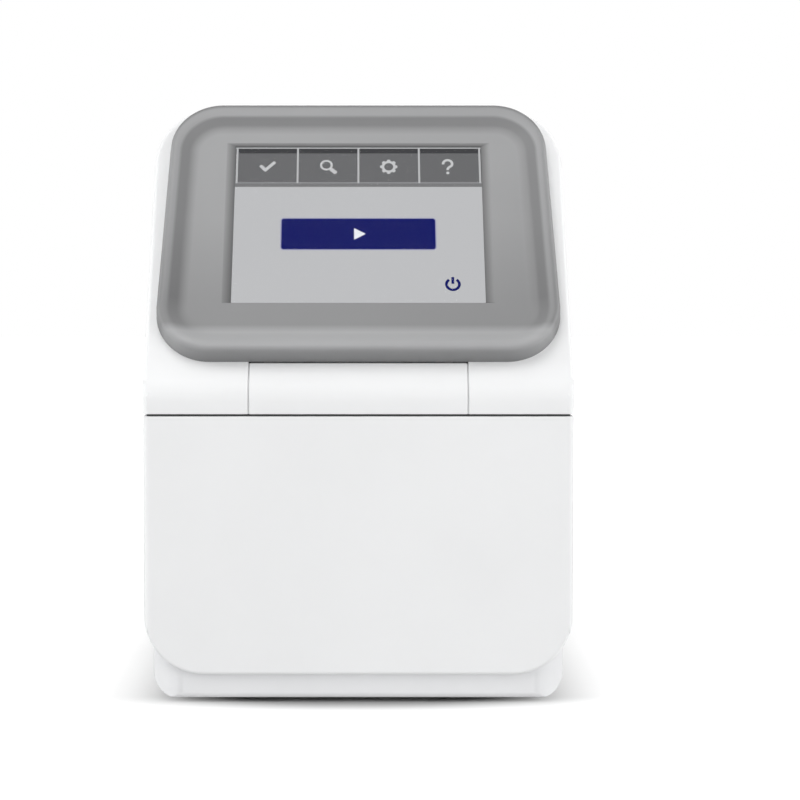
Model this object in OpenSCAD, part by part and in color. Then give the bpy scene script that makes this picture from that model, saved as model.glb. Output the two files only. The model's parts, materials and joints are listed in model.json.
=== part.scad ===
// Benchtop chemistry analyzer: tilted touch screen over a motor-driven drawer for a reagent disc.
// The front faces -Y, the width runs along X and Z is up.
// The origin is the middle of the footprint, at the underside of the rubber feet.

/* [Body] */
// Overall width
body_w = 192.4; // [184:0.4:206]
// Overall depth
body_d = 230; // [224:1:250]
// Height of the seam between the lower cover and the upper housing
seam_z = 130; // [128:1:142]
// Width of the open seam
seam_gap = 1; // [0.6:0.1:1.4]
// Wall thickness of the moulded covers
wall = 2.6; // [2.2:0.1:2.8]
// Assembly gap between covers that slide into each other
fit_gap = 0.2; // [0.1:0.05:0.3]
// Radius of the upright edges
edge_r = 3; // [2.9:0.1:5]
// Radius of the lower corners of the cover, seen from the front
cover_corner_r = 27; // [20:0.5:30]
// Radius of the shoulders of the upper housing, seen from the front
shoulder_r = 28; // [20:1:30]
// Radius where the upright front turns into the slope
brow_r = 17; // [10:0.5:20]
// Height of the upright front above the seam
brow_h = 11; // [9:0.5:12]
// Radius between the slope and the top
crown_r = 6; // [4:0.5:8]
// Fall of the top towards the back, degrees
top_fall = 4; // [1:0.5:6]
// Radius where the top turns into the back
back_r = 34; // [24:1:38]
// Height of the straight rear edge of the upper housing above the rear panel
rear_lip_h = 5; // [3:0.5:8]
// Thickness of the rim inside the seam
rim_t = 2; // [1.6:0.1:2.4]
// Depth of the rim below the seam
rim_drop = 4; // [3:0.5:6]

/* [Base] */
// Height of the rubber feet below the base
foot_h = 2; // [1.5:0.5:4]
// Radius of a rubber foot
foot_r = 8; // [6:0.5:10]
// Depth of the pocket that a foot sits in
foot_pocket = 1; // [0.6:0.1:1.4]
// Height of the base band seen below the front cover
band_h = 11.2; // [8:0.2:14]
// Floor thickness of the base
floor_t = 3; // [2.4:0.2:4]
// Radius of the lower corners of the base, seen from the front
base_corner_r = 12; // [9:0.5:14]
// Radius of the lower front and rear edges of the base
base_edge_r = 3; // [2:0.5:5]
// Radius of the upright corners of the base
base_plan_r = 15; // [8:0.5:18]
// Overlap of the base walls inside the cover
base_overlap = 5; // [4:0.5:10]
// Radius of the corner posts that carry the cover screws
post_r = 5; // [4.5:0.5:6]
// Distance of the corner posts from the side walls of the base
post_side = 14.5; // [13:0.5:17]
// Distance of the corner posts from the front and rear walls of the base
post_end = 8; // [7:0.5:10]
// Width of a floor vent slot
floor_slot_w = 3; // [2:0.5:3.5]

/* [Screen] */
// Lean of the screen from upright, degrees
tilt = 33; // [30:1:36]
// Width of the lit screen area
screen_w = 115.2; // [108:0.2:118]
// Height of the lit screen area
screen_h = 86.4; // [82:0.2:92]
// Height of the glass above the slope
glass_lift = 5.8; // [5.4:0.1:7]
// Height of the bezel crest above the glass
crest_h = 4; // [3:0.2:5]
// Height of the bezel floor above the glass
bezel_floor = 1.2; // [1:0.1:1.6]
// Bezel below the lit area
bezel_foot = 27.2; // [25:0.2:30]
// Bezel above the lit area
bezel_head = 23.4; // [22:0.2:25]
// Bezel beside the lower edge of the lit area
bezel_side = 33.9; // [32:0.1:35]
// Narrowing of the bezel from bottom to top, on each side
bezel_taper = 3.4; // [1:0.2:5]
// Corner radius of the bezel
bezel_r = 25; // [20:1:28]
// Inward lean of the bezel's outer wall
bezel_lean = 2.2; // [1:0.2:3]
// Width of the bezel's rim, from its outer edge to the dish
brim_w = 5.6; // [4.8:0.2:6]
// Extra width of the rim at the top
brim_extra = 2.4; // [1:0.2:3]
// Width of the dish slope
dish_w = 10; // [8:0.5:11]
// Width of the sunk edge round the lit area
sight_w = 4; // [2:0.2:5]
// Wall thickness of the bezel
bezel_wall = 2.4; // [2:0.1:3]
// Thickness of the touch glass
glass_t = 1.3; // [1:0.1:1.6]
// Edge of the touch glass past the lit area
glass_edge = 3; // [2:0.2:4]
// Edge of the display module past the lit area
module_edge = 7.9; // [6:0.2:9]
// Thickness of the display bracket
bracket_t = 2; // [1.5:0.1:2.5]

/* [Drawer] */
// Travel of the drawer
drawer_travel = 104; // [96:1:108]
// Width of the drawer front
drawer_w = 97.4; // [96:0.2:104]
// Gap round the drawer front
drawer_gap = 0.5; // [0.4:0.1:0.8]
// Thickness of the drawer front's outer band
front_t = 5; // [4:0.5:6]
// Depth of the drawer front with its plug
plug_depth = 15; // [13:0.5:16]
// Half width of the plug behind the drawer front
plug_hw = 43.5; // [42:0.5:45]
// Clearance of the drawer above the seam
ride_gap = 0.5; // [0.4:0.1:0.8]
// Height of the spindle motor below the tray
spindle_h = 5; // [5:0.2:6]
// Thickness of the tray plate
tray_t = 2.6; // [2:0.1:3]
// Half width of the tray
tray_hw = 47.4; // [46.8:0.1:48]
// Length of tray that stays inside when the drawer is open
tray_stay = 76; // [72:1:80]
// Thickness of the tray skirt
skirt_t = 2.2; // [1.8:0.1:2.6]
// Width and height of the gasket
gasket_t = 1.8; // [1.4:0.1:2.2]
// Radius of the guide rods
rod_r = 2; // [1.6:0.1:2.2]
// Length of a slide bush
bush_len = 10; // [8:0.5:12]
// Width of a slide bush
bush_w = 7.4; // [7:0.1:7.8]
// Distance of the guide rods from the middle
rod_x = 40; // [39:0.2:40.6]
// Running clearance of rods and shafts
run_gap = 0.05; // [0.03:0.01:0.08]

/* [Reagent disc] */
// Diameter of the reagent disc
disc_d = 82; // [78:1:84]
// Thickness of the reagent disc
disc_t = 12; // [10:0.5:14]
// Height of the disc above the tray
disc_lift = 0.8; // [0.6:0.1:1.2]
// Free height above the disc
disc_clear = 2; // [1.6:0.1:3]
// Number of cuvettes
cuvette_n = 28; // [20:1:30]
// Distance of the cuvettes from the axis
cuvette_r = 33; // [32:0.5:34]
// Thickness of the disc's cover
disc_cover_t = 1.6; // [1.2:0.1:2]
// Radius of the disc's bore
disc_bore_r = 8; // [7.6:0.1:9]
// Radius of the turntable
table_r = 18; // [16:0.5:19]

/* [Drive] */
// Gear module
gear_m = 1; // [0.9:0.05:1.1]
// Pinion teeth
pinion_n = 16; // [15:1:17]
// Backlash between pinion and rack
backlash = 0.25; // [0.2:0.05:0.35]
// Distance of the pinion axis from the middle
pinion_x = 22; // [21.5:0.1:22.6]
// Side of the feed motor
feed_side = 28; // [26:1:30]
// Height of the feed motor
feed_h = 32; // [26:1:40]
// Radius of the feed motor's shaft
feed_shaft_r = 2.5; // [2:0.1:3]

/* [Chassis] */
// Thickness of the chassis sheet
sheet_t = 2; // [1.5:0.1:2.5]
// Half width inside the chassis
chassis_hw = 51; // [50:0.5:53]
// Free height between the chassis floor and the drawer
deck_drop = 5; // [4.6:0.1:7]
// Radius of the posts under the chassis
deck_post_r = 4; // [3:0.5:5]
// Thickness of the heater plate
heater_t = 3; // [2:0.2:4]
// Height of the photometer
photometer_h = 28; // [24:1:34]
// Width of the photometer
photometer_w = 32; // [28:1:36]
// Length of the lamp housing
lamp_len = 28; // [22:1:34]
// Radius of the lamp housing
lamp_r = 12; // [9:0.5:13]

/* [Electronics] */
// Width of the power supply
psu_w = 46; // [40:1:48]
// Length of the power supply
psu_len = 108; // [90:1:112]
// Height of the power supply
psu_h = 34; // [26:1:40]
// Width of the main board
board_w = 62; // [56:1:64]
// Length of the main board
board_len = 146; // [120:1:150]
// Board thickness
board_t = 1.6; // [1.2:0.1:2]
// Gap between the power supply and the main board
board_gap = 1.5; // [1:0.1:3]
// Side of the heat sink
sink_side = 28; // [22:1:30]
// Height of the heat sink
sink_h = 14; // [10:1:24]
// Distance of the heat sink from the rear edge of the main board
sink_rear = 56; // [46:1:66]
// Distance of the heat sink from the left edge of the main board
sink_left = 18; // [10:1:19]
// Height of the main board above the base floor
board_lift = 14; // [12:1:18]
// Side of the square fan
fan_side = 60; // [56:1:64]
// Thickness of the fan
fan_t = 15; // [13:1:20]
// Number of fan blades
blade_n = 7; // [5:1:9]
// Rock of the power switch between off and on, degrees
rock = 14; // [10:1:16]

/* [Ports] */
// Width of the appliance inlet
inlet_w = 27; // [26:0.5:28]
// Height of the appliance inlet
inlet_h = 20; // [19:0.5:21]
// Depth of the appliance inlet behind the panel's outer face
inlet_body = 24; // [21:1:26]
// Depth of the inlet's recess
inlet_depth = 17; // [15:0.5:18]
// Width of the power switch
switch_w = 19; // [18:0.5:20]
// Height of the power switch
switch_h = 22; // [20:0.5:23]
// Depth of the power switch behind the panel's outer face
switch_body = 18; // [15:1:20]
// Width of the USB socket
usb_w = 14; // [13.6:0.2:15]
// Height of the USB socket
usb_h = 15.6; // [15.4:0.1:16.4]
// Length of the USB socket
usb_len = 18; // [17:1:22]
// Width of the network socket
lan_w = 16; // [15.4:0.2:17]
// Height of the network socket
lan_h = 13.6; // [13:0.2:14.4]
// Length of the network socket
lan_len = 21; // [18:1:24]
// Width of the rating plate
rating_w = 42; // [34:1:44]
// Height of the rating plate
rating_h = 28; // [20:1:30]

/* [Rear panel] */
// Thickness of the rear panel
panel_t = 2.8; // [2:0.2:3.2]
// Recess of the rear panel behind the cover edges
panel_recess = 1; // [0.9:0.1:1.5]
// Width of the flanges behind the rear panel
flange_w = 8.4; // [7.6:0.2:10]
// Height of the fan axis above the seam
fan_rise = 40; // [36:1:46]
// Pitch of the vent slots
slot_pitch = 6; // [5:0.5:7]
// Width of a vent slot
slot_w = 3; // [2:0.2:3.5]

/* [Fasteners] */
// Shank radius of the case screws
screw_r = 1.5; // [1.3:0.1:1.6]
// Clearance round a screw shank
screw_gap = 0.1; // [0.08:0.02:0.16]
// Head radius of the case screws
head_r = 2.8; // [2.4:0.1:3]
// Head height of the case screws
head_h = 1; // [0.7:0.1:1]

/* [Hidden] */
$fn = 64;

white = [0.93, 0.93, 0.94];
pale = [0.86, 0.87, 0.88];
grey = [0.6, 0.6, 0.61];
dark = [0.16, 0.16, 0.17];
steel = [0.72, 0.73, 0.75];
copper = [0.72, 0.42, 0.2];
green = [0.1, 0.36, 0.22];
cyan = [0.3, 0.68, 0.85, 0.6];

// Body planes
hw = body_w / 2;
hd = body_d / 2;
seam_low = seam_z - seam_gap / 2;
seam_top = seam_z + seam_gap / 2;
step_in = wall + fit_gap;
cover_z0 = foot_h + band_h;
base_rim_z = cover_z0 + cover_corner_r + base_overlap;
floor_z = foot_h + floor_t;
panel_y1 = hd - panel_recess;
panel_y0 = panel_y1 - panel_t;
flange_y0 = panel_y0 - wall;
flange_x0 = hw - wall - flange_w;
rebate_x = hw - wall + 0.3;

// Heights of the drawer, from the seam up
ride_z = seam_top + ride_gap;
plate_z0 = ride_z + spindle_h;
plate_z1 = plate_z0 + tray_t;
disc_z0 = plate_z1 + disc_lift;
disc_z1 = disc_z0 + disc_t;
door_z1 = disc_z1 + disc_clear;
table_z0 = plate_z0 + 0.4;
hub_z0 = disc_z1 - 3.1;
hub_bore_r = disc_bore_r - 2.2;
mesh_z0 = ride_z + 0.6;
mesh_z1 = plate_z0 - 0.2;

// Lengths of the drawer, from the front back
tray_y0 = -hd + plug_depth;
tray_y1 = tray_y0 + drawer_travel + tray_stay;
disc_r = disc_d / 2;
disc_y = tray_y0 + 3 + disc_r;
window_y = disc_y + cuvette_r;
notch_y0 = disc_y - 12;
pitch_r = gear_m * pinion_n / 2;
pinion_y = tray_y1 - drawer_travel - 4;
bush_ys = [tray_y1 - 6, tray_y1 - 56];
support_len = 5;
rod_y0 = tray_y0 + 3;
rod_y1 = tray_y1 + 2 + support_len;
rod_z = (ride_z + plate_z0) / 2;

// Slope and screen
up = [sin(tilt), cos(tilt)];
outward = [-cos(tilt), sin(tilt)];
knee = [-hd, seam_z + brow_h];
bezel_rise = (door_z1 - knee[1]) / cos(tilt);
screen0 = knee + up * (bezel_rise + bezel_foot);
bezel_top = screen_h + bezel_head;
crown = screen0 + up * (bezel_top + crown_r * tan((90 - tilt + top_fall) / 2));
top_dir = [cos(top_fall), -sin(top_fall)];
back_top = crown[1] - (hd - crown[0]) * tan(top_fall);
rear_lip_z = back_top - back_r * tan((90 - top_fall) / 2) - rear_lip_h;
bracket_out = -wall;
module_z1 = glass_lift - glass_t;
module_hw = screen_w / 2 + module_edge;
opening_hw = module_hw + 10.5;
bezel_hw0 = screen_w / 2 + bezel_side;
bezel_post_x = module_hw + 4.6;
bezel_post_ps = [6, screen_h - 6];
bezel_steps = 8;
display_x = 44;
display_ps = [14, 74];
display_gap = 4;

// Chassis and optics
deck_z1 = ride_z - deck_drop;
deck_z0 = deck_z1 - sheet_t;
chassis_y0 = rod_y0 - 2;
chassis_y1 = rod_y1 + 1;
heater_z1 = door_z1 + heater_t;
shaft_z0 = deck_z0 - feed_h + 6.2;
deck_post_x = chassis_hw - 5;
inlet_y0 = panel_y1 - inlet_body;
deck_post_ys = [chassis_y0 + 8, inlet_y0 - deck_post_r - 10];
floor_pitch = 2.9 * floor_slot_w;
post_x = hw - step_in - post_side - post_r;
post_y = hd - step_in - post_end - post_r;
boss_z0 = base_rim_z + 4;
boss_h = 16;
screw_hole_r = screw_r + screw_gap;

// Electronics
board_z0 = floor_z + board_lift;
board_z1 = board_z0 + board_t;
board_y1 = panel_y0 - 3;
psu_x0 = -hw + step_in + post_side;
board_x0 = psu_x0 + psu_w + board_gap;
psu_y0 = deck_post_ys[0] + deck_post_r + 6;
fan_z = seam_z + fan_rise;
fan_y0 = panel_y0 - fan_t;
fan_slots = floor((fan_side / 2 - 6) / slot_pitch);
port_x = -(post_x - post_r - inlet_w / 2 - 2.2);
inlet = [port_x, cover_z0 + 36];
switch_at = [port_x, cover_z0 + 68];
switch_y = hd - 3;
rocker_y = switch_y - 2;
usb_x = board_x0 + 30;
lan_x = usb_x + usb_w / 2 + lan_w / 2 + 7;
rating_x = hw - step_in - rating_w / 2 - 5;
port_y1 = panel_y1 - 0.6;

// Meeting point of two lines, each a point and a direction
function meet(p, u, q, v) = p + u * cross(q - p, v) / cross(u, v);
function unit(v) = v / norm(v);

// Convex outline with a true arc at each corner that has a radius
module rounded(points, radii) {
    n = len(points);
    function before(i) = unit(points[(i + n - 1) % n] - points[i]);
    function after(i) = unit(points[(i + 1) % n] - points[i]);
    function half(i) = acos(before(i) * after(i)) / 2;
    function run(i) = radii[i] / tan(half(i));
    polygon([for (i = [0 : n - 1]) each (radii[i] > 0
        ? [points[i] + before(i) * run(i), points[i] + after(i) * run(i)]
        : [points[i]])]);
    for (i = [0 : n - 1]) if (radii[i] > 0)
        translate(points[i] + unit(before(i) + after(i)) * radii[i] / sin(half(i))) circle(radii[i]);
}

module rounded_box(x0, x1, y0, y1, r) {
    rounded([[x0, y0], [x1, y0], [x1, y1], [x0, y1]], [r, r, r, r]);
}

module box(x0, x1, y0, y1, z0, z1) {
    translate([x0, y0, z0]) cube([x1 - x0, y1 - y0, z1 - z0]);
}

module along_x(x0, x1) {
    translate([x0, 0, 0]) rotate([90, 0, 90]) linear_extrude(x1 - x0) children();
}

module along_y(y0, y1) {
    translate([0, y1, 0]) rotate([90, 0, 0]) linear_extrude(y1 - y0) children();
}

module rod_y(x, z, y0, y1, r) {
    translate([x, y1, z]) rotate([90, 0, 0]) cylinder(r = r, h = y1 - y0);
}

module mirrored() {
    children();
    mirror([1, 0, 0]) children();
}

// Frame of the slope: x as the body, y up the slope from the lower edge of the lit area, z outward
module on_slope() {
    translate([0, screen0[0], screen0[1]]) rotate([90 - tilt, 0, 0]) children();
}

// Plan of the body, drawn in by a distance
module plan(i, r = edge_r) {
    rounded_box(-hw + i, hw - i, -hd + i, hd - i, max(r - i, 0.3));
}

// Side outline of the upper housing, drawn in by a distance
module side_outline(i, low) {
    slope_p = knee - outward * i;
    top_p = crown - [sin(top_fall), cos(top_fall)] * i;
    rounded([[-hd + i, low], meet([-hd + i, 0], [0, 1], slope_p, up), meet(slope_p, up, top_p, top_dir),
        meet([hd - i, 0], [0, 1], top_p, top_dir), [hd - i, low]],
        [0, brow_r - i, crown_r - i, back_r - i, 0]);
}

module housing_mass(i, low) {
    intersection() {
        translate([0, 0, low]) linear_extrude(crown[1] - low + 10) plan(i);
        along_x(-hw, hw) side_outline(i, low);
        translate([0, crown[0], crown[1]]) rotate([-top_fall, 0, 0]) along_y(-body_d, body_d)
            rounded([[-hw + i, -crown[1]], [hw - i, -crown[1]], [hw - i, -i], [-hw + i, -i]],
                [0, 0, shoulder_r - i, shoulder_r - i]);
    }
}

// Front outline of the lower cover
module cover_outline() {
    rounded([[-hw, cover_z0], [hw, cover_z0], [hw, seam_low], [-hw, seam_low]],
        [cover_corner_r, cover_corner_r, 0, 0]);
}

// Front or side outline of the base, drawn in by a distance
module base_outline(half_w, i, r) {
    x = half_w - i;
    low = foot_h + i;
    high = base_rim_z + i;
    rounded([[-x, low], [x, low], [x, high], [-x, high]], [r - i, r - i, 0, 0]);
}

module base_mass(i) {
    intersection() {
        along_y(-hd, hd) base_outline(hw - step_in, i, base_corner_r);
        along_x(-hw, hw) base_outline(hd - step_in, i, base_edge_r);
        translate([0, 0, -1]) linear_extrude(base_rim_z + 10) plan(step_in + i, base_plan_r + step_in);
    }
}

// Slot with round ends along x
module slot_outline(length, width) {
    rounded_box(-length / 2, length / 2, -width / 2, width / 2, width / 2 - 0.05);
}

module deck_post_places() {
    for (x = [-deck_post_x, deck_post_x], y = deck_post_ys) translate([x, y, 0]) children();
}

module corner_posts() {
    for (x = [-post_x, post_x], y = [-post_y, post_y]) translate([x, y, 0]) children();
}

module feet_places() {
    for (x = [-1, 1], y = [-1, 1])
        translate([x * (post_x - post_r - foot_r), y * (post_y - post_r - foot_r), 0]) children();
}

// Covers

module base_tray() {
    rear_gap_x = hw - step_in - wall;
    color(pale) difference() {
        union() {
            difference() {
                base_mass(0);
                base_mass(wall);
                box(-hw, hw, panel_y0 - fit_gap, hd, cover_z0, base_rim_z + 1);
                box(-rear_gap_x, rear_gap_x, hd - step_in - wall - 1, hd, cover_z0, base_rim_z + 1);
            }
            corner_posts() translate([0, 0, floor_z - 1]) cylinder(r = post_r, h = boss_z0 - floor_z + 1);
            deck_post_places() translate([0, 0, floor_z - 1]) cylinder(r = deck_post_r + 2, h = 3);
        }
        corner_posts() translate([0, 0, foot_h - 1]) {
            cylinder(r = screw_hole_r, h = boss_z0);
            cylinder(r = head_r + 0.4, h = floor_t + 3);
        }
        feet_places() translate([0, 0, foot_h - 1]) cylinder(r = foot_r + screw_gap, h = 1 + foot_pocket);
        for (x = [-1, 1], k = [0 : 6]) translate([x * 22, k * floor_pitch, foot_h - 1])
            linear_extrude(floor_t + 2) slot_outline(22, floor_slot_w);
    }
}

module rubber_feet() {
    color(dark) feet_places() cylinder(r = foot_r, h = foot_h + foot_pocket);
}

module lower_cover() {
    color(white) difference() {
        union() {
            difference() {
                intersection() {
                    translate([0, 0, cover_z0 - 1]) linear_extrude(seam_low - cover_z0 + 1) plan(0);
                    along_y(-hd, hd) cover_outline();
                }
                translate([0, 0, cover_z0 - 2]) linear_extrude(seam_low) plan(wall);
                box(-rebate_x, rebate_x, hd - wall - 1, hd + 1, cover_z0 - 2, seam_z);
            }
            mirrored() box(flange_x0, hw - wall / 2, flange_y0, panel_y0, base_rim_z + 1, seam_low);
            mirrored() for (y = [-post_y, post_y]) {
                translate([post_x, y, boss_z0]) cylinder(r = post_r, h = boss_h);
                box(post_x, hw - wall / 2, y - 1.5, y + 1.5, boss_z0, boss_z0 + boss_h);
            }
        }
        corner_posts() translate([0, 0, boss_z0 - 1]) cylinder(r = screw_hole_r, h = boss_h - 3);
        panel_screw_places(false) rod_y(0, 0, flange_y0 - 1, panel_y0 + 1, screw_hole_r);
    }
}

module upper_housing() {
    rim_z = seam_low - rim_drop;
    rim_z1 = seam_top + 4;
    ledge_z = seam_top + 0.6;
    door_x = drawer_w / 2 + drawer_gap;
    color(white) difference() {
        union() {
            difference() {
                housing_mass(0, seam_top);
                housing_mass(wall, seam_top - 1);
                box(-rebate_x, rebate_x, hd - wall - 1, hd + 1, seam_top - 1, rear_lip_z);
            }
            difference() {
                union() {
                    translate([0, 0, ledge_z]) linear_extrude(rim_z1 - ledge_z) plan(wall / 2);
                    translate([0, 0, rim_z]) linear_extrude(rim_z1 - rim_z) plan(step_in);
                }
                translate([0, 0, rim_z - 1]) linear_extrude(rim_z1 - rim_z + 2) plan(step_in + rim_t);
                box(-hw, hw, flange_y0 - 0.5, hd + 1, rim_z - 1, rim_z1 + 1);
            }
            mirrored() box(flange_x0, hw - wall / 2, flange_y0, panel_y0, seam_top, rear_lip_z + 2);
        }
        box(-door_x, door_x, -hd - 1, tray_y0 + 2, seam_low + 0.1, door_z1);
        on_slope() box(-opening_hw, opening_hw, -module_edge - 1, screen_h + module_edge + 1, -wall - 4, 2);
        panel_screw_places(true) rod_y(0, 0, flange_y0 - 1, panel_y0 + 1, screw_hole_r);
    }
}

// Heights of the rear panel screws; the upper ones sit in the housing, the others in the lower cover
module panel_screw_places(upper) {
    zs = upper ? [seam_top + 10, rear_lip_z - 12] : [base_rim_z + 8, seam_low - 10];
    for (x = [-1, 1], z = zs) translate([x * (flange_x0 + flange_w / 2), 0, z]) children();
}

module port_hole(x, z, w, h) {
    box(x - w / 2, x + w / 2, panel_y0 - 1, panel_y1 + 1, z - h / 2, z + h / 2);
}

module rear_panel() {
    half_w = hw - step_in;
    corner = cover_corner_r - step_in;
    usb_z = board_z1 + usb_h / 2;
    lan_z = board_z1 + lan_h / 2;
    color(pale) difference() {
        along_y(panel_y0, panel_y1) rounded([[-half_w, cover_z0 + fit_gap], [half_w, cover_z0 + fit_gap],
            [half_w, rear_lip_z - fit_gap], [-half_w, rear_lip_z - fit_gap]], [corner, corner, 0, 0]);
        for (k = [-fan_slots : fan_slots]) fan_slot(k * slot_pitch);
        for (k = [-3 : 3]) port_hole(k * 2 * slot_pitch, seam_z - 42, slot_w, 22);
        port_hole(inlet[0], inlet[1], inlet_w + 0.4, inlet_h + 0.4);
        port_hole(switch_at[0], switch_at[1], switch_w + 0.4, switch_h + 0.4);
        port_hole(usb_x, usb_z, usb_w + 0.8, usb_h + 0.8);
        port_hole(lan_x, lan_z, lan_w + 0.8, lan_h + 0.8);
        for (u = [true, false])
            panel_screw_places(u) rod_y(0, 0, panel_y0 - 1, panel_y1 + 1, screw_hole_r);
        fan_screw_places() rod_y(0, 0, panel_y0 - 1, panel_y1 + 1, screw_hole_r);
    }
}

// Vent slot across the fan circle at a height from its axis
module fan_slot(h) {
    half_len = sqrt(pow(fan_side / 2 - 2, 2) - h * h);
    port_hole(-half_len / 2 - 0.75, fan_z + h, half_len - 1.5, slot_w);
    port_hole(half_len / 2 + 0.75, fan_z + h, half_len - 1.5, slot_w);
}

module rating_plate() {
    color(steel) along_y(panel_y1, panel_y1 + 0.4) translate([rating_x, seam_z - 44])
        rounded_box(-rating_w / 2, rating_w / 2, -rating_h / 2, rating_h / 2, 2);
}

// Screen

// Half width of the bezel outline at a height up the slope; it narrows towards the top
function bezel_half(p) = bezel_hw0 - bezel_taper * p / bezel_top;

// Ring of points round an outline with rounded corners, with each corner as [x, p, start angle]
function corner_ring(corners, r, z) = [for (c = corners, k = [0 : bezel_steps])
    [c[0] + r * cos(c[2] + 90 * k / bezel_steps), c[1] + r * sin(c[2] + 90 * k / bezel_steps), z]];

// Ring that follows the bezel's outer edge, drawn in by a distance and lowered at the top
function bezel_ring(i, z, drop = 0) =
    let(r = bezel_r - i, low = -bezel_foot + bezel_r, high = bezel_top - bezel_r - drop)
    corner_ring([[bezel_half(low) - bezel_r, low, -90], [bezel_half(high) - bezel_r, high, 0],
        [bezel_r - bezel_half(high), high, 90], [bezel_r - bezel_half(low), low, 180]], r, z);

// Ring round the window over the lit area, widened at the sides, foot and top
function sight_ring(side, foot, head, z) =
    let(r = 0.6, x = screen_w / 2 + side - r, high = screen_h + head - r)
    corner_ring([[x, r - foot, -90], [x, high, 0], [-x, high, 90], [-x, r - foot, 180]], r, z);

// Solid swept through closed rings, the last joined back to the first
module ring_solid(rings) {
    m = len(rings);
    n = len(rings[0]);
    points = [for (ring = rings) each ring];
    polyhedron(points, [for (j = [0 : m - 1], k = [0 : n - 1])
        let(a = j * n, b = ((j + 1) % m) * n, k1 = (k + 1) % n)
            each [[a + k, b + k, b + k1], [a + k, b + k1, a + k1]]]);
}

module screen_bezel() {
    crest = glass_lift + crest_h;
    floor_top = glass_lift + bezel_floor;
    function dish(share, fall) = bezel_ring(brim_w + dish_w * share,
        floor_top + (crest - 0.4 - floor_top) * (1 - fall), brim_extra);
    color(grey) on_slope() difference() {
        union() {
            ring_solid([
                bezel_ring(0, 0),
                bezel_ring(bezel_lean * 0.25, crest - 3.2),
                bezel_ring(bezel_lean * 0.5, crest - 1.2),
                bezel_ring(bezel_lean, crest - 0.2),
                bezel_ring(brim_w - 2, crest, brim_extra / 2),
                dish(0, 0),
                dish(0.15, 0.3),
                dish(0.35, 0.62),
                dish(0.65, 0.9),
                dish(1, 1),
                sight_ring(sight_w, 0.4, sight_w * 0.35, floor_top),
                sight_ring(0, 0, 0, glass_lift + 0.3),
                sight_ring(0, 0, 0, glass_lift),
                bezel_ring(bezel_wall, glass_lift),
                bezel_ring(bezel_wall, 0)]);
            bezel_post_places() cylinder(r = 3.4, h = glass_lift - bracket_out + 0.5);
        }
        bezel_post_places() translate([0, 0, -1]) cylinder(r = screw_hole_r, h = 7);
    }
}

// Places of the four posts behind the bezel, at the level of the display bracket
module bezel_post_places() {
    for (x = [-bezel_post_x, bezel_post_x], p = bezel_post_ps)
        translate([x, p, bracket_out]) children();
}

module touch_glass() {
    half_w = screen_w / 2 + glass_edge;
    color([0.75, 0.76, 0.78, 0.5]) on_slope()
        box(-half_w, half_w, -glass_edge, screen_h + glass_edge, module_z1, glass_lift);
}

module lcd_module() {
    color(steel) on_slope() difference() {
        box(-module_hw, module_hw, -module_edge, screen_h + module_edge, bracket_out, module_z1);
        box(-screen_w / 2 - 1, screen_w / 2 + 1, -1, screen_h + 1, module_z1 - 0.4, module_z1 + 1);
    }
}

module lcd_bracket() {
    color(steel) on_slope() difference() {
        translate([0, 0, bracket_out - bracket_t]) linear_extrude(bracket_t)
            rounded_box(-opening_hw - 3, opening_hw + 3, -module_edge - 6, screen_h + module_edge + 2, 4);
        bezel_post_places() translate([0, 0, -bracket_t - 1]) cylinder(r = screw_hole_r, h = bracket_t + 2);
        for (x = [-1, 1], y = [0.3, 0.7])
            translate([x * 30, screen_h * y, bracket_out - bracket_t - 1])
                linear_extrude(bracket_t + 2) rounded_box(-9, 9, -3, 3, 2.9);
    }
}

module display_spacers() {
    color(steel) on_slope() for (x = [-display_x, display_x], p = display_ps)
        translate([x, p, bracket_out - bracket_t - display_gap]) cylinder(r = 2.5, h = display_gap);
}

module display_board() {
    z1 = bracket_out - bracket_t - display_gap;
    color(green) on_slope() {
        box(-display_x - 5, display_x + 5, display_ps[0] - 5, display_ps[1] + 5, z1 - board_t, z1);
        box(-16, 16, 30, 56, z1 - board_t - 2.4, z1 - board_t);
        box(-30, -20, 34, 52, z1 - board_t - 1.6, z1 - board_t);
        box(22, 34, 62, 68, z1 - board_t - 5, z1 - board_t);
    }
}

module bezel_screws() {
    color(steel) on_slope() bezel_post_places() {
        translate([0, 0, -bracket_t - 1.6]) cylinder(r = head_r, h = 1.6);
        translate([0, 0, -bracket_t - 0.5]) cylinder(r = screw_r, h = bracket_t + 6);
    }
}

// Drawer

module drawer_front() {
    half_w = drawer_w / 2;
    top = door_z1 - drawer_gap;
    color(white) {
        difference() {
            intersection() {
                along_x(-half_w, half_w) side_outline(0, seam_top);
                box(-half_w, half_w, -hd, tray_y0, seam_top, top);
            }
            along_x(-half_w - 1, half_w + 1) side_outline(front_t, seam_top - 1);
        }
        intersection() {
            along_x(-plug_hw, plug_hw) side_outline(front_t / 2, seam_top - 1);
            box(-plug_hw, plug_hw, -hd + front_t / 2, tray_y0, ride_z, disc_z1 - 1);
        }
    }
}

module drawer_gasket() {
    x1 = plug_hw + gasket_t;
    z1 = disc_z1 - 1 + gasket_t;
    color(dark) difference() {
        along_y(tray_y0 - gasket_t, tray_y0)
            rounded([[-x1, ride_z], [x1, ride_z], [x1, z1], [-x1, z1]], [0, 0, 3, 3]);
        box(-plug_hw, plug_hw, tray_y0 - gasket_t - 1, tray_y0 + 1, ride_z - 1, disc_z1 - 1);
    }
}

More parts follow.
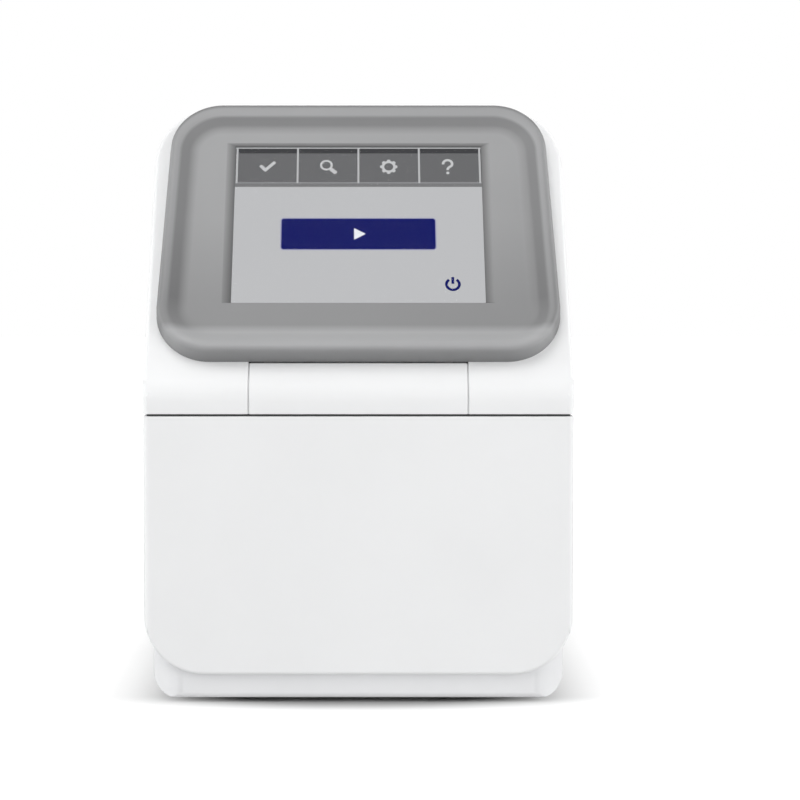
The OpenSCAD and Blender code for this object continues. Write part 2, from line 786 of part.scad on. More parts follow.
module drawer_tray() {
    groove_x = disc_r - 0.6;
    notch_z1 = plate_z0 - 1;
    color(white) difference() {
        union() {
            box(-tray_hw, tray_hw, tray_y0, tray_y1, plate_z0, plate_z1);
            mirrored() box(tray_hw - skirt_t, tray_hw, tray_y0, tray_y1, ride_z, plate_z1);
            box(-tray_hw, tray_hw, tray_y1 - skirt_t, tray_y1, plate_z0, plate_z1 + 3);
        }
        translate([0, disc_y, plate_z0 - 1]) cylinder(r = table_r + 0.8, h = tray_t + 2);
        translate([0, window_y, plate_z0 - 1]) cylinder(r = 3, h = tray_t + 2);
        mirrored() translate([groove_x, 0, 0])
            box(-0.5, 0.5, tray_y0 - 1, tray_y1 - skirt_t, plate_z1 - 0.8, plate_z1 + 1);
        box(-tray_hw - 1, -tray_hw + skirt_t + 0.1, notch_y0, notch_y0 + 22, notch_z1 - 2.2, notch_z1);
        for (y = [15, 45], x = [-20, 20]) translate([x, tray_y1 - y, plate_z0 - 1])
            linear_extrude(tray_t + 2) slot_outline(14, 10);
    }
}

module drawer_latch() {
    z = plate_z0 - 2;
    front = notch_y0 - 7.5;
    color(white) box(-tray_hw - 0.6, -tray_hw, front, front + 6.5, z - 1.6, z + 1.8);
    color(dark) translate([-tray_hw - 0.8, front - 3.1, z]) rotate([0, 90, 0]) cylinder(r = 1.2, h = 0.8);
}

module slide_bushes() {
    color(dark) mirrored() for (y = bush_ys) difference() {
        translate([rod_x, y, 0])
            box(-bush_w / 2, bush_w / 2, -bush_len / 2, bush_len / 2, rod_z - rod_r - 0.9, plate_z0);
        rod_y(rod_x, rod_z, y - bush_len, y + bush_len, rod_r + run_gap);
    }
}

rack_tip_x = pinion_x + pitch_r - gear_m;
rack_root_x = pinion_x + pitch_r + 1.2 * gear_m;
rack_pitch = PI * gear_m;
rack_y0 = tray_y0 + 10;

module drawer_rack() {
    half_pitch_t = rack_pitch / 4 - backlash / 2;
    tip_half = half_pitch_t - gear_m * tan(20);
    root_half = half_pitch_t + 1.2 * gear_m * tan(20);
    first = ceil((rack_y0 - pinion_y) / rack_pitch);
    last = floor((tray_y1 - skirt_t - pinion_y) / rack_pitch) - 1;
    color(pale) translate([0, 0, mesh_z0]) linear_extrude(plate_z0 - mesh_z0) polygon(concat(
        [[rack_root_x + 3, rack_y0 - 2], [rack_root_x, rack_y0 - 2]],
        [for (k = [first : last]) let(y = pinion_y + (k + 0.5) * rack_pitch) each [
            [rack_root_x, y - root_half], [rack_tip_x, y - tip_half],
            [rack_tip_x, y + tip_half], [rack_root_x, y + root_half]]],
        [[rack_root_x, tray_y1 - skirt_t], [rack_root_x + 3, tray_y1 - skirt_t]]));
}

// Spindle and disc

module spindle_base() {
    color(steel) translate([0, disc_y, 0]) {
        difference() {
            union() {
                translate([0, 0, ride_z]) cylinder(r = table_r + 4, h = 1);
                translate([0, 0, ride_z]) cylinder(r = 4, h = spindle_h - 0.2);
            }
            translate([0, 0, ride_z + 0.5]) cylinder(r = 2 + run_gap, h = spindle_h);
        }
        for (a = [45 : 90 : 315]) rotate([0, 0, a]) translate([table_r + 2.4, 0, ride_z + 0.5])
            cylinder(r = 1.5, h = spindle_h - 0.5);
    }
}

module stator_windings() {
    coil_h = spindle_h - 2.4;
    color(copper) translate([0, disc_y, ride_z + 1]) difference() {
        union() {
            cylinder(r = 6.5, h = coil_h);
            for (a = [0 : 40 : 320]) rotate([0, 0, a]) translate([8.2, 0, 0]) cylinder(r = 2.2, h = coil_h);
        }
        translate([0, 0, -1]) cylinder(r = 4.1, h = 5);
    }
}

module spindle_rotor() {
    color(dark) translate([0, disc_y, 0]) {
        difference() {
            translate([0, 0, ride_z + 1.8]) cylinder(r = 14, h = table_z0 - ride_z - 1.7);
            translate([0, 0, ride_z]) cylinder(r = 11.6, h = table_z0 - ride_z);
        }
        translate([0, 0, table_z0]) cylinder(r = table_r, h = disc_z0 - table_z0);
        translate([0, 0, ride_z + 0.7]) cylinder(r = 2, h = disc_z0 - ride_z);
        translate([0, 0, disc_z0 - 0.1]) cylinder(r = disc_bore_r - 0.3, h = hub_z0 - disc_z0 + 0.1);
        translate([0, 0, hub_z0 - 0.1]) cylinder(r = hub_bore_r - 0.02, h = 1.7);
    }
}

module hub_ring() {
    color(steel) translate([0, disc_y, hub_z0]) difference() {
        cylinder(r = disc_bore_r - 0.5, h = 1.1);
        translate([0, 0, -1]) cylinder(r = hub_bore_r, h = 3);
    }
}

module disc_body() {
    h = disc_t - disc_cover_t;
    color(cyan) translate([0, disc_y, disc_z0]) difference() {
        cylinder(r = disc_r, h = h);
        translate([0, 0, -1]) cylinder(r = disc_bore_r, h = disc_t);
        for (k = [0 : cuvette_n - 1]) rotate([0, 0, (k + 0.5) * 360 / cuvette_n])
            translate([cuvette_r - 2.6, -1.7, h - 7]) cube([5.2, 3.4, 8]);
        for (k = [0 : 5]) rotate([0, 0, k * 60]) intersection() {
            difference() {
                translate([0, 0, 3]) cylinder(r = 27, h = disc_t);
                translate([0, 0, 2]) cylinder(r = 17, h = disc_t);
            }
            translate([0, 0, 2]) linear_extrude(disc_t)
                polygon([[3, 1.5], [40, 1.5], [28, 40], [4, 3.5]]);
        }
    }
}

module disc_cover() {
    color(cyan) translate([0, disc_y, disc_z1 - disc_cover_t]) difference() {
        cylinder(r = disc_r, h = disc_cover_t);
        translate([0, 0, -1]) cylinder(r = disc_bore_r + 2, h = disc_t);
        for (k = [0 : 5]) rotate([0, 0, k * 60 + 12])
            translate([22, 0, -1]) cylinder(r = 1.2, h = disc_t);
    }
}

// Guide, chassis and drive

module guide_rods() {
    color(steel) for (x = [-rod_x, rod_x]) rod_y(x, rod_z, rod_y0, rod_y1, rod_r);
}

module rod_supports() {
    color(dark) for (x = [-rod_x, rod_x], y = [rod_y0, rod_y1 - support_len]) difference() {
        box(x - 4, x + 4, y, y + support_len, deck_z1, plate_z0 - 0.4);
        rod_y(x, rod_z, y - 1, y + support_len + 1, rod_r + 0.01);
    }
}

module drawer_chassis() {
    tab_x0 = chassis_hw - 11;
    out_x = chassis_hw + sheet_t;
    color(steel) difference() {
        union() {
            box(-out_x, out_x, chassis_y0, chassis_y1, deck_z0, deck_z1);
            mirrored() {
                box(chassis_hw, out_x, chassis_y0, chassis_y1, deck_z0, heater_z1 + sheet_t);
                box(tab_x0, out_x, chassis_y0, chassis_y1, heater_z1, heater_z1 + sheet_t);
            }
        }
        translate([pinion_x, pinion_y, deck_z0 - 1]) cylinder(r = 9, h = sheet_t + 2);
        for (y = [-70 : 22 : 62], x = [-30, 22]) if (x < 0 || abs(y - pinion_y) > 14)
            translate([x, y, deck_z0 - 1]) linear_extrude(sheet_t + 2) slot_outline(16, 6);
    }
}

module chassis_posts() {
    z0 = floor_z + 2;
    color(steel) deck_post_places() translate([0, 0, z0]) cylinder(r = deck_post_r, h = deck_z0 - z0);
}

module feed_motor() {
    color(dark) translate([pinion_x, pinion_y, 0]) difference() {
        union() {
            translate([0, 0, deck_z0 - feed_h]) linear_extrude(feed_h) intersection() {
                square(feed_side, center = true);
                rotate(45) square(feed_side * sqrt(2) - 4, center = true);
            }
            translate([0, 0, deck_z0 - 1]) cylinder(r = 8.8, h = sheet_t + 1);
        }
        translate([0, 0, shaft_z0 - 0.2]) cylinder(r = feed_shaft_r + run_gap, h = feed_h + sheet_t);
    }
}

module feed_shaft() {
    h = mesh_z1 - shaft_z0;
    color(steel) translate([pinion_x, pinion_y, shaft_z0]) cylinder(r = feed_shaft_r, h = h);
}

// Half angle of a pinion tooth at a radius, from the involute of its base circle
base_r = pitch_r * cos(20);
function involute(r) = let(a = acos(base_r / r)) tan(a) * 180 / PI - a;
function tooth_half(r) = 90 / pinion_n - backlash / 2 / pitch_r * 90 / PI
    + involute(pitch_r) - involute(r);

module drive_pinion() {
    steps = 5;
    tip_r = pitch_r + gear_m;
    root_r = pitch_r - 1.2 * gear_m;
    radii = [for (k = [0 : steps]) base_r + (tip_r - base_r) * k / steps];
    function at(r, a) = r * [cos(a), sin(a)];
    color(pale) translate([pinion_x, pinion_y, mesh_z0]) difference() {
        linear_extrude(mesh_z1 - mesh_z0)
            polygon([for (t = [0 : pinion_n - 1]) let(a = t * 360 / pinion_n) each concat(
                [at(root_r, a - tooth_half(base_r))],
                [for (r = radii) at(r, a - tooth_half(r))],
                [for (k = [steps : -1 : 0]) at(radii[k], a + tooth_half(radii[k]))],
                [at(root_r, a + tooth_half(base_r))])]);
        translate([0, 0, -1]) cylinder(r = feed_shaft_r + 0.01, h = mesh_z1);
    }
}

module home_sensor() {
    y = chassis_y1 - 12;
    color(dark) difference() {
        box(-12, 4, y - 6, y + 6, deck_z1, deck_z1 + 7);
        box(-6, -2, y - 7, y + 7, deck_z1 + 3, deck_z1 + 8);
    }
}

module heater_plate() {
    color(steel) difference() {
        box(-chassis_hw + 2, chassis_hw - 2, chassis_y0 + 2, window_y + 28, door_z1, heater_z1);
        translate([0, window_y, door_z1 - 1]) cylinder(r = 6, h = heater_t + 2);
    }
}

module photometer_head() {
    half_w = photometer_w / 2;
    color(dark) difference() {
        union() {
            box(-half_w, half_w, window_y - 14, window_y + 20, heater_z1, heater_z1 + photometer_h);
            translate([0, window_y, door_z1 - 0.6]) cylinder(r = 5.6, h = heater_t + 2);
            box(-half_w - 6, half_w + 6, window_y - 8, window_y + 14, heater_z1, heater_z1 + 3);
        }
        translate([0, window_y, door_z1 - 1]) cylinder(r = 3.5, h = heater_t + 8);
    }
}

module lamp_housing() {
    z = heater_z1 + photometer_h / 2;
    y0 = window_y + 20;
    color(steel) {
        rod_y(0, z, y0, y0 + lamp_len, lamp_r - 2.5);
        for (k = [0 : 4]) translate([0, y0 + 2 + k * (lamp_len - 4) / 5, 0]) rod_y(0, z, 0, 2, lamp_r);
    }
}

module detector_block() {
    color(dark) difference() {
        box(-9, 9, window_y - 7, window_y + 7, deck_z1, plate_z0 - 0.6);
        translate([0, window_y, plate_z0 - 4]) cylinder(r = 2.5, h = 5);
    }
}

// Electronics

module main_board() {
    x1 = board_x0 + board_w;
    y0 = board_y1 - board_len;
    color(green) difference() {
        union() {
            box(board_x0, x1, y0, board_y1, board_z0, board_z1);
            box(board_x0 + 8, board_x0 + 22, y0 + 20, y0 + 34, board_z1, board_z1 + 1.8);
            for (k = [0 : 3]) translate([board_x0 + 6 + k * 9, y0 + 4, board_z1]) cube([5, 10, 6]);
            for (k = [0 : 2]) translate([x1 - 10, y0 + 30 + k * 14, board_z0]) cylinder(r = 4, h = 12);
        }
        board_spacer_places() translate([0, 0, board_z0 - 1]) cylinder(r = screw_hole_r, h = board_t + 2);
    }
}

module board_spacer_places() {
    for (x = [board_x0 + 4, board_x0 + board_w - 4], y = [board_y1 - board_len + 20, board_y1 - 36])
        translate([x, y, 0]) children();
}

module board_spacers() {
    color(steel) board_spacer_places() {
        translate([0, 0, floor_z]) cylinder(r = 3, h = board_lift);
        translate([0, 0, floor_z]) cylinder(r = screw_r, h = board_lift + board_t + 1);
        translate([0, 0, board_z1]) cylinder(r = head_r, h = 1.6);
    }
}

module heat_sink() {
    y0 = board_y1 - sink_rear - sink_side;
    x0 = board_x0 + sink_left;
    color(steel) {
        box(x0, x0 + sink_side, y0, y0 + sink_side, board_z1, board_z1 + 3);
        for (k = [0 : 6]) translate([x0 + k * (sink_side - 1.4) / 6, 0, 0])
            box(0, 1.4, y0, y0 + sink_side, board_z1 + 2, board_z1 + sink_h);
    }
}

module power_supply() {
    color(steel) difference() {
        union() {
            box(psu_x0, psu_x0 + psu_w, psu_y0, psu_y0 + psu_len, floor_z + 3, floor_z + 3 + psu_h);
            for (x = [8, psu_w - 8], y = [10, psu_len - 10])
                translate([psu_x0 + x, psu_y0 + y, floor_z]) cylinder(r = 3.5, h = 4);
        }
        for (k = [0 : 5], j = [0 : 2])
            translate([psu_x0 + 6 + j * 12, psu_y0 + 12 + k * 12, floor_z + psu_h + 1]) cube([8, 3, 3]);
    }
}

// Rounded collar round a port, on the outside of the rear panel
module port_collar(w, h, edge, r, y1) {
    along_y(panel_y1, y1) rounded_box(-w / 2 - edge, w / 2 + edge, -h / 2 - edge, h / 2 + edge, r);
}

module power_inlet() {
    color(dark) translate([inlet[0], 0, inlet[1]]) difference() {
        union() {
            box(-inlet_w / 2, inlet_w / 2, inlet_y0, panel_y1, -inlet_h / 2, inlet_h / 2);
            port_collar(inlet_w, inlet_h, 2.4, 3, hd - 0.1);
        }
        along_y(hd - inlet_depth, hd + 1)
            rounded([[-12.1, -8.2], [12.1, -8.2], [12.1, 8.2], [-12.1, 8.2]], [1, 1, 4, 4]);
    }
}

module inlet_pins() {
    color(steel) translate([inlet[0], 0, inlet[1]]) {
        for (x = [-7, 7]) box(x - 1, x + 1, hd - inlet_depth, hd - 3, -4.5, -0.5);
        box(-1, 1, hd - inlet_depth, hd - 2, 1, 5);
    }
}

module switch_frame() {
    half_w = switch_w / 2;
    half_h = switch_h / 2;
    color(dark) translate([switch_at[0], 0, switch_at[1]]) difference() {
        union() {
            box(-half_w, half_w, panel_y1 - switch_body, panel_y1, -half_h, half_h);
            port_collar(switch_w, switch_h, 1.6, 2, hd - 0.2);
        }
        box(-half_w + 2, half_w - 2, switch_y - 10, hd + 1, -half_h + 1.5, half_h - 1.5);
        translate([1 - half_w, rocker_y, 0]) rotate([0, 90, 0]) cylinder(r = 1 + run_gap, h = switch_w - 2);
    }
}

module switch_rocker() {
    half_l = switch_h / 2 - 2.6;
    half_w = switch_w / 2;
    color(dark) translate([switch_at[0], rocker_y, switch_at[1]]) rotate([rock / 2, 0, 0]) {
        along_x(2.3 - half_w, half_w - 2.3) polygon([[-1, -half_l], [2.6, -half_l], [1.8, 0],
            [2.6, half_l], [-1, half_l], [-5, 2.5], [-5, -2.5]]);
        translate([1.2 - half_w, 0, 0]) rotate([0, 90, 0]) cylinder(r = 1, h = switch_w - 2.4);
    }
}

module usb_socket() {
    color(steel) translate([usb_x, 0, board_z1]) difference() {
        box(-usb_w / 2, usb_w / 2, port_y1 - usb_len, port_y1, 0, usb_h);
        for (z = [1, 9]) difference() {
            box(-6.2, 6.2, port_y1 - 14, port_y1 + 1, z, z + 5.4);
            box(-5.4, 5.4, port_y1 - 15, port_y1 - 1.5, z + 3, z + 4.8);
        }
    }
}

module lan_socket() {
    color(steel) translate([lan_x, 0, board_z1]) difference() {
        box(-lan_w / 2, lan_w / 2, port_y1 - lan_len, port_y1, 0, lan_h);
        box(-6, 6, port_y1 - 14, port_y1 + 1, 2.2, 10.2);
        box(-3, 3, port_y1 - 10, port_y1 + 1, 10, 12);
    }
}

module fan_screw_places() {
    d = fan_side / 2 - 5;
    for (x = [-d, d], z = [-d, d]) translate([x, 0, fan_z + z]) children();
}

module fan_frame() {
    s = fan_side / 2;
    color(dark) {
        difference() {
            along_y(fan_y0, panel_y0) translate([0, fan_z]) rounded_box(-s, s, -s, s, 4);
            rod_y(0, fan_z, fan_y0 - 1, panel_y0 + 1, s - 1.4);
            fan_screw_places() rod_y(0, 0, fan_y0 - 1, panel_y0 + 1, screw_hole_r);
        }
        rod_y(0, fan_z, fan_y0, fan_y0 + 2, 12);
        rod_y(0, fan_z, fan_y0, fan_y0 + fan_t - 3.5, 1.5);
        for (a = [45 : 90 : 315]) translate([0, fan_y0, fan_z]) rotate([0, a, 0])
            translate([11, 0, -1.5]) cube([s - 11.5, 2, 3]);
    }
}

module fan_rotor() {
    hub_r = 13;
    span = fan_side / 2 - 2.4;
    depth = fan_t - 6;
    color([0.2, 0.2, 0.21]) translate([0, fan_y0 + 2.6, fan_z]) difference() {
        union() {
            rod_y(0, 0, 0, depth, hub_r);
            intersection() {
                for (k = [0 : blade_n - 1]) rotate([0, k * 360 / blade_n, 0])
                    translate([0, depth / 2, 0]) rotate([42, 0, 0])
                        translate([hub_r - 1, -depth, -0.6]) cube([span, depth * 2, 1.2]);
                rod_y(0, 0, 0.3, depth - 0.3, span);
            }
        }
        rod_y(0, 0, -1, depth + 2, 1.5 + run_gap);
    }
}

// Fasteners

module panel_head() {
    rod_y(0, 0, panel_y1, panel_y1 + min(head_h, panel_recess) - 0.1, head_r);
}

module fan_screws() {
    color(steel) fan_screw_places() {
        rod_y(0, 0, fan_y0 + 1, panel_y1 + 0.5, screw_r);
        panel_head();
    }
}

module panel_screws() {
    color(steel) for (u = [true, false]) panel_screw_places(u) {
        rod_y(0, 0, flange_y0 - 3, panel_y1 + 0.5, screw_r);
        panel_head();
    }
}

module base_screws() {
    z0 = floor_z + 2;
    color(steel) corner_posts() {
        translate([0, 0, z0 - 2.4]) cylinder(r = head_r, h = 2.4);
        translate([0, 0, z0 - 1]) cylinder(r = screw_r, h = boss_z0 + 10 - z0);
    }
}

base_tray();
rubber_feet();
lower_cover();
upper_housing();
rear_panel();
rating_plate();
screen_bezel();
touch_glass();
lcd_module();
lcd_bracket();
display_board();
display_spacers();
bezel_screws();
drawer_front();
drawer_gasket();
drawer_tray();
drawer_latch();
slide_bushes();
drawer_rack();
spindle_base();
stator_windings();
spindle_rotor();
hub_ring();
disc_body();
disc_cover();
guide_rods();
rod_supports();
drawer_chassis();
chassis_posts();
feed_motor();
feed_shaft();
drive_pinion();
home_sensor();
heater_plate();
photometer_head();
lamp_housing();
detector_block();
main_board();
board_spacers();
heat_sink();
power_supply();
power_inlet();
inlet_pins();
switch_frame();
switch_rocker();
usb_socket();
lan_socket();
fan_frame();
fan_rotor();
fan_screws();
panel_screws();
base_screws();
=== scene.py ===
import json
import math

import bmesh
import bpy
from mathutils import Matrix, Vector


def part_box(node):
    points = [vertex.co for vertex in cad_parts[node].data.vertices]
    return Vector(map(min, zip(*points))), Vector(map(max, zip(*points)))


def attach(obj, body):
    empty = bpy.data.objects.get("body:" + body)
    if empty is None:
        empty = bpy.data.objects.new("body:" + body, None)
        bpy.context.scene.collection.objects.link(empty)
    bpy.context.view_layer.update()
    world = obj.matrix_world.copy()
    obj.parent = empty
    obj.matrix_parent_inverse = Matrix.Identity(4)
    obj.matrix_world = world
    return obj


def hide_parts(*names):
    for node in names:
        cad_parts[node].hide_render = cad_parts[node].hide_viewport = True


# Benchtop chemistry analyzer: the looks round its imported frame.
# Shapes are written in mm and turned into metres where a point is placed.

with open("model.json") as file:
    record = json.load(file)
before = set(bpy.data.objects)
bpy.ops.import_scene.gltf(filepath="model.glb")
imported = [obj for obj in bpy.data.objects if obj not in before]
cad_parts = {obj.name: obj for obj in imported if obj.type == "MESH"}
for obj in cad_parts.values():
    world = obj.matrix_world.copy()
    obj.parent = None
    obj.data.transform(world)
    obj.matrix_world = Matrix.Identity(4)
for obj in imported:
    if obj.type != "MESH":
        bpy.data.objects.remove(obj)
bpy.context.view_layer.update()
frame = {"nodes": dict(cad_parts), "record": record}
nodes = frame["nodes"]
groups = frame["record"]["behaviour"]["bodies"]
bodyOf = {node: body for body, names in groups.items() for node in names}
slotOf = {row["node"]: row["material_slot"] for row in frame["record"]["subparts"]}
mm = 0.001
link = bpy.context.scene.collection.objects.link
print("frame: %d nodes on %d bodies" % (len(nodes), len(groups)))


def span(node):    # lowest and highest corner of a node, in mm
    low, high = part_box(node)
    return Vector(low) / mm, Vector(high) / mm


def middle(low, high):
    return [(a + b) / 2 for a, b in zip(low, high)]


# Camera, as the photograph was taken

cameraView = {"place": (0, -1.0462, 0.2020), "pitchDown": 4, "lens": 94.5, "shiftX": 0.052}
cameraData = bpy.data.cameras.new("studioCamera")
cameraData.lens = cameraView["lens"]
cameraData.shift_x = cameraView["shiftX"]
camera = bpy.data.objects.new("studioCamera", cameraData)
camera.location = cameraView["place"]
camera.rotation_euler = (math.radians(90 - cameraView["pitchDown"]), 0, 0)
link(camera)
bpy.context.scene.camera = camera
print("camera placed")

# The slope carries the screen: x as the body, p up the slope from the lit area, out away from it

slope = {"lean": 33, "y": -92.133, "z": 176.212}
slopeSin, slopeCos = math.sin(math.radians(slope["lean"])), math.cos(math.radians(slope["lean"]))


def onSlope(x, p, out):
    y = slope["y"] + p * slopeSin - out * slopeCos
    z = slope["z"] + p * slopeCos + out * slopeSin
    return Vector((x, y, z)) * mm


# Materials

def newMaterial(name):
    material = bpy.data.materials.new(name)
    material.use_nodes = True
    return material, material.node_tree, material.node_tree.nodes["Principled BSDF"]


def given(node, values):    # sets inputs by name
    for key, value in values.items():
        node.inputs[key].default_value = value
    return node


def mathNode(tree, operation, a, b=0.0):
    step = tree.nodes.new("ShaderNodeMath")
    step.operation = operation
    for socket, value in zip(step.inputs, (a, b)):
        if isinstance(value, (int, float)):
            socket.default_value = value
        else:
            tree.links.new(value, socket)
    return step.outputs[0]


def objectPlace(tree):
    return tree.nodes.new("ShaderNodeTexCoord").outputs["Object"]


def placeAxes(tree):    # x, y and z of the place on the object, in metres
    split = tree.nodes.new("ShaderNodeSeparateXYZ")
    tree.links.new(objectPlace(tree), split.inputs["Vector"])
    return split.outputs


def bumped(tree, shader, height, depth):
    bump = given(tree.nodes.new("ShaderNodeBump"), {"Distance": depth})
    tree.links.new(height, bump.inputs["Height"])
    tree.links.new(bump.outputs["Normal"], shader.inputs["Normal"])


def noiseAt(tree, source, size, detail=2.0, stretch=None):    # size is the grain in metres
    scale = 1.0 if stretch else 1 / size
    noise = given(tree.nodes.new("ShaderNodeTexNoise"), {"Scale": scale, "Detail": detail})
    if stretch:
        mapping = tree.nodes.new("ShaderNodeMapping")
        mapping.inputs["Scale"].default_value = [v / size for v in stretch]
        tree.links.new(source, mapping.inputs["Vector"])
        source = mapping.outputs["Vector"]
    tree.links.new(source, noise.inputs["Vector"])
    return noise.outputs["Fac"]


def spread(tree, value, low, high, fromLow=0.3, fromHigh=0.7):
    ranged = given(tree.nodes.new("ShaderNodeMapRange"),
                   {"From Min": fromLow, "From Max": fromHigh, "To Min": low, "To Max": high})
    tree.links.new(value, ranged.inputs["Value"])
    return ranged.outputs["Result"]


def multiplied(tree, first, second):    # product of two colours; each is a colour or a socket
    mix = tree.nodes.new("ShaderNodeMix")
    mix.data_type = "RGBA"
    mix.blend_type = "MULTIPLY"
    mix.inputs[0].default_value = 1
    for socket, value in ((mix.inputs[6], first), (mix.inputs[7], second)):
        if isinstance(value, tuple):
            socket.default_value = (*value, 1)
        else:
            tree.links.new(value, socket)
    return mix.outputs[2]


def surface(name, colour, rough, metal, mottle, grain, stretch=None, toneAndPaintedShade=None, sockets={}):
    # mottle is (size, strength) of the slow colour change, grain is (size, depth) of the fine texture
    material, tree, shader = newMaterial(name)
    place = objectPlace(tree)
    slow = noiseAt(tree, place, mottle[0], 3)
    fine = noiseAt(tree, place, grain[0], 2, stretch)
    tone = multiplied(tree, colour, spread(tree, slow, 1 - mottle[1], 1 + mottle[1]))
    # the caller's pattern multiplies the colour: painted shade on the bezel, colour zones on the disc
    if toneAndPaintedShade:
        tone = multiplied(tree, tone, toneAndPaintedShade(tree))
    tree.links.new(tone, shader.inputs["Base Color"])
    tree.links.new(spread(tree, fine, rough * 0.88, min(rough * 1.12, 1)), shader.inputs["Roughness"])
    bumped(tree, shader, fine, grain[1])
    given(shader, {"Metallic": metal, **sockets})
    return material


def litLayer(name, colour):    # one colour of the backlit display
    material, tree, shader = newMaterial(name)
    wave = tree.nodes.new("ShaderNodeTexWave")
    wave.bands_direction = "X"
    wave.inputs["Scale"].default_value = 880    # about one band for each column of pixels
    tree.links.new(objectPlace(tree), wave.inputs["Vector"])
    lit = multiplied(tree, colour, spread(tree, wave.outputs["Fac"], 0.985, 1.015, 0, 1))
    tree.links.new(lit, shader.inputs["Emission Color"])
    given(shader, {"Base Color": (0.002, 0.002, 0.002, 1), "Emission Strength": 1, "Roughness": 0.4,
                   "Specular IOR Level": 0})
    return material


def toned(tree, value, reach, stops):    # tone by a length in mm; each stop is (length, tone or colour)
    ramp = tree.nodes.new("ShaderNodeValToRGB")
    marks = ramp.color_ramp.elements
    while len(marks) < len(stops):
        marks.new(0.5)
    low = stops[0][0]
    for mark, (length, tone) in zip(marks, stops):
        mark.position = (length - low) / (reach - low)
        mark.color = (*(tone if isinstance(tone, tuple) else (tone,) * 3), 1)
    tree.links.new(spread(tree, value, 0, 1, low, reach), ramp.inputs["Fac"])
    return ramp.outputs["Color"]


# Painted shade on the bezel, in mm on the slope: the sunk edge is painted darker towards the lit area, the
# dish is painted darker than the rim, and the foot is painted darker than the head, with a painted highlight
# on the slope up from the foot

bezelPaintedShade = {
    "halfX": 57.6, "high": 86.4, "side": 4.4, "head": 1.8, "foot": 0.5, "dark": 0.28,
    "half": 91.5, "taper": 3.4 / 109.8, "top": 107.4, "low": -27.2, "corner": 25, "rim": (0.66, 1.4),
    "footBlend": (-16, 2),
    "dish": [(0, 0.92), (5.0, 0.96), (6.4, 0.62), (9.6, 0.61), (14.5, 0.97), (25, 0.97)],
    "rise": [(-28, 1.0), (-21, 1.20), (-16, 1.14), (-12, 0.67), (2, 0.71), (45, 0.93), (85, 1.0),
             (110, 1.0)],
}


def diagonal(tree, a, b):    # length of the way across a and b
    squares = [mathNode(tree, "POWER", side, 2.0) for side in (a, b)]
    return mathNode(tree, "SQRT", mathNode(tree, "ADD", *squares))


# painted shade and a painted highlight on the bezel's colour, from its place on the slope
def bezelShade(tree):
    b = bezelPaintedShade
    step = lambda operation, a, c=0.0: mathNode(tree, operation, a, c)
    x, y, z = (step("DIVIDE", length, mm) for length in placeAxes(tree))
    side = step("ABSOLUTE", x)
    p = step("ADD", step("MULTIPLY", step("SUBTRACT", y, slope["y"]), slopeSin),
             step("MULTIPLY", step("SUBTRACT", z, slope["z"]), slopeCos))
    beside = step("DIVIDE", step("SUBTRACT", side, b["halfX"]), b["side"])
    above = step("DIVIDE", step("SUBTRACT", p, b["high"]), b["head"])
    away = step("MAXIMUM", beside, step("MAXIMUM", above, step("DIVIDE", p, -b["foot"])))
    sight = spread(tree, away, b["dark"], 1, 0, 1)
    overX = step("MAXIMUM", step("ADD", side, step("MULTIPLY", p, b["taper"])), b["half"] - b["corner"])
    middle, tall = (b["top"] + b["low"]) / 2, (b["top"] - b["low"]) / 2 - b["corner"]
    overP = step("MAXIMUM", step("SUBTRACT", step("ABSOLUTE", step("SUBTRACT", p, middle)), tall), 0.0)
    reach = diagonal(tree, step("SUBTRACT", overX, b["half"] - b["corner"]), overP)
    inset = step("SUBTRACT", b["corner"], reach)
    dish = toned(tree, inset, b["corner"], b["dish"])
    low = tree.nodes.new("ShaderNodeMix")    # the dish's painted shade is left off at the foot
    low.data_type = "RGBA"
    tree.links.new(spread(tree, p, 0, 1, *b["footBlend"]), low.inputs[0])
    low.inputs[6].default_value = (1, 1, 1, 1)
    tree.links.new(dish, low.inputs[7])
    rim = spread(tree, inset, b["rim"][0], 1, 0, b["rim"][1])    # painted shade: the outer edge is darkest
    rise = toned(tree, p, b["rise"][-1][0], b["rise"])
    return multiplied(tree, multiplied(tree, multiplied(tree, rise, low.outputs[2]), sight), rim)


def discZones(tree):    # the disc's tone by its distance from the axis
    x, y = (mathNode(tree, "DIVIDE", length, mm) for length in placeAxes(tree)[:2])
    y = mathNode(tree, "SUBTRACT", y, discAxisY)
    return toned(tree, diagonal(tree, x, y), discTones[-1][0], discTones)


discLow, discHigh = span("disc_body")
discAxisY = middle(discLow, discHigh)[1]
discTones = [(7, (0.10, 0.30, 0.48)), (17.5, (0.16, 0.40, 0.58)), (19, (0.34, 0.66, 0.82)),
             (27.5, (0.48, 0.76, 0.90)), (29, (0.24, 0.52, 0.70)), (36.3, (0.42, 0.72, 0.86)),
             (37.2, (1.0, 1.0, 1.0)), (41, (1.0, 1.0, 1.0))]

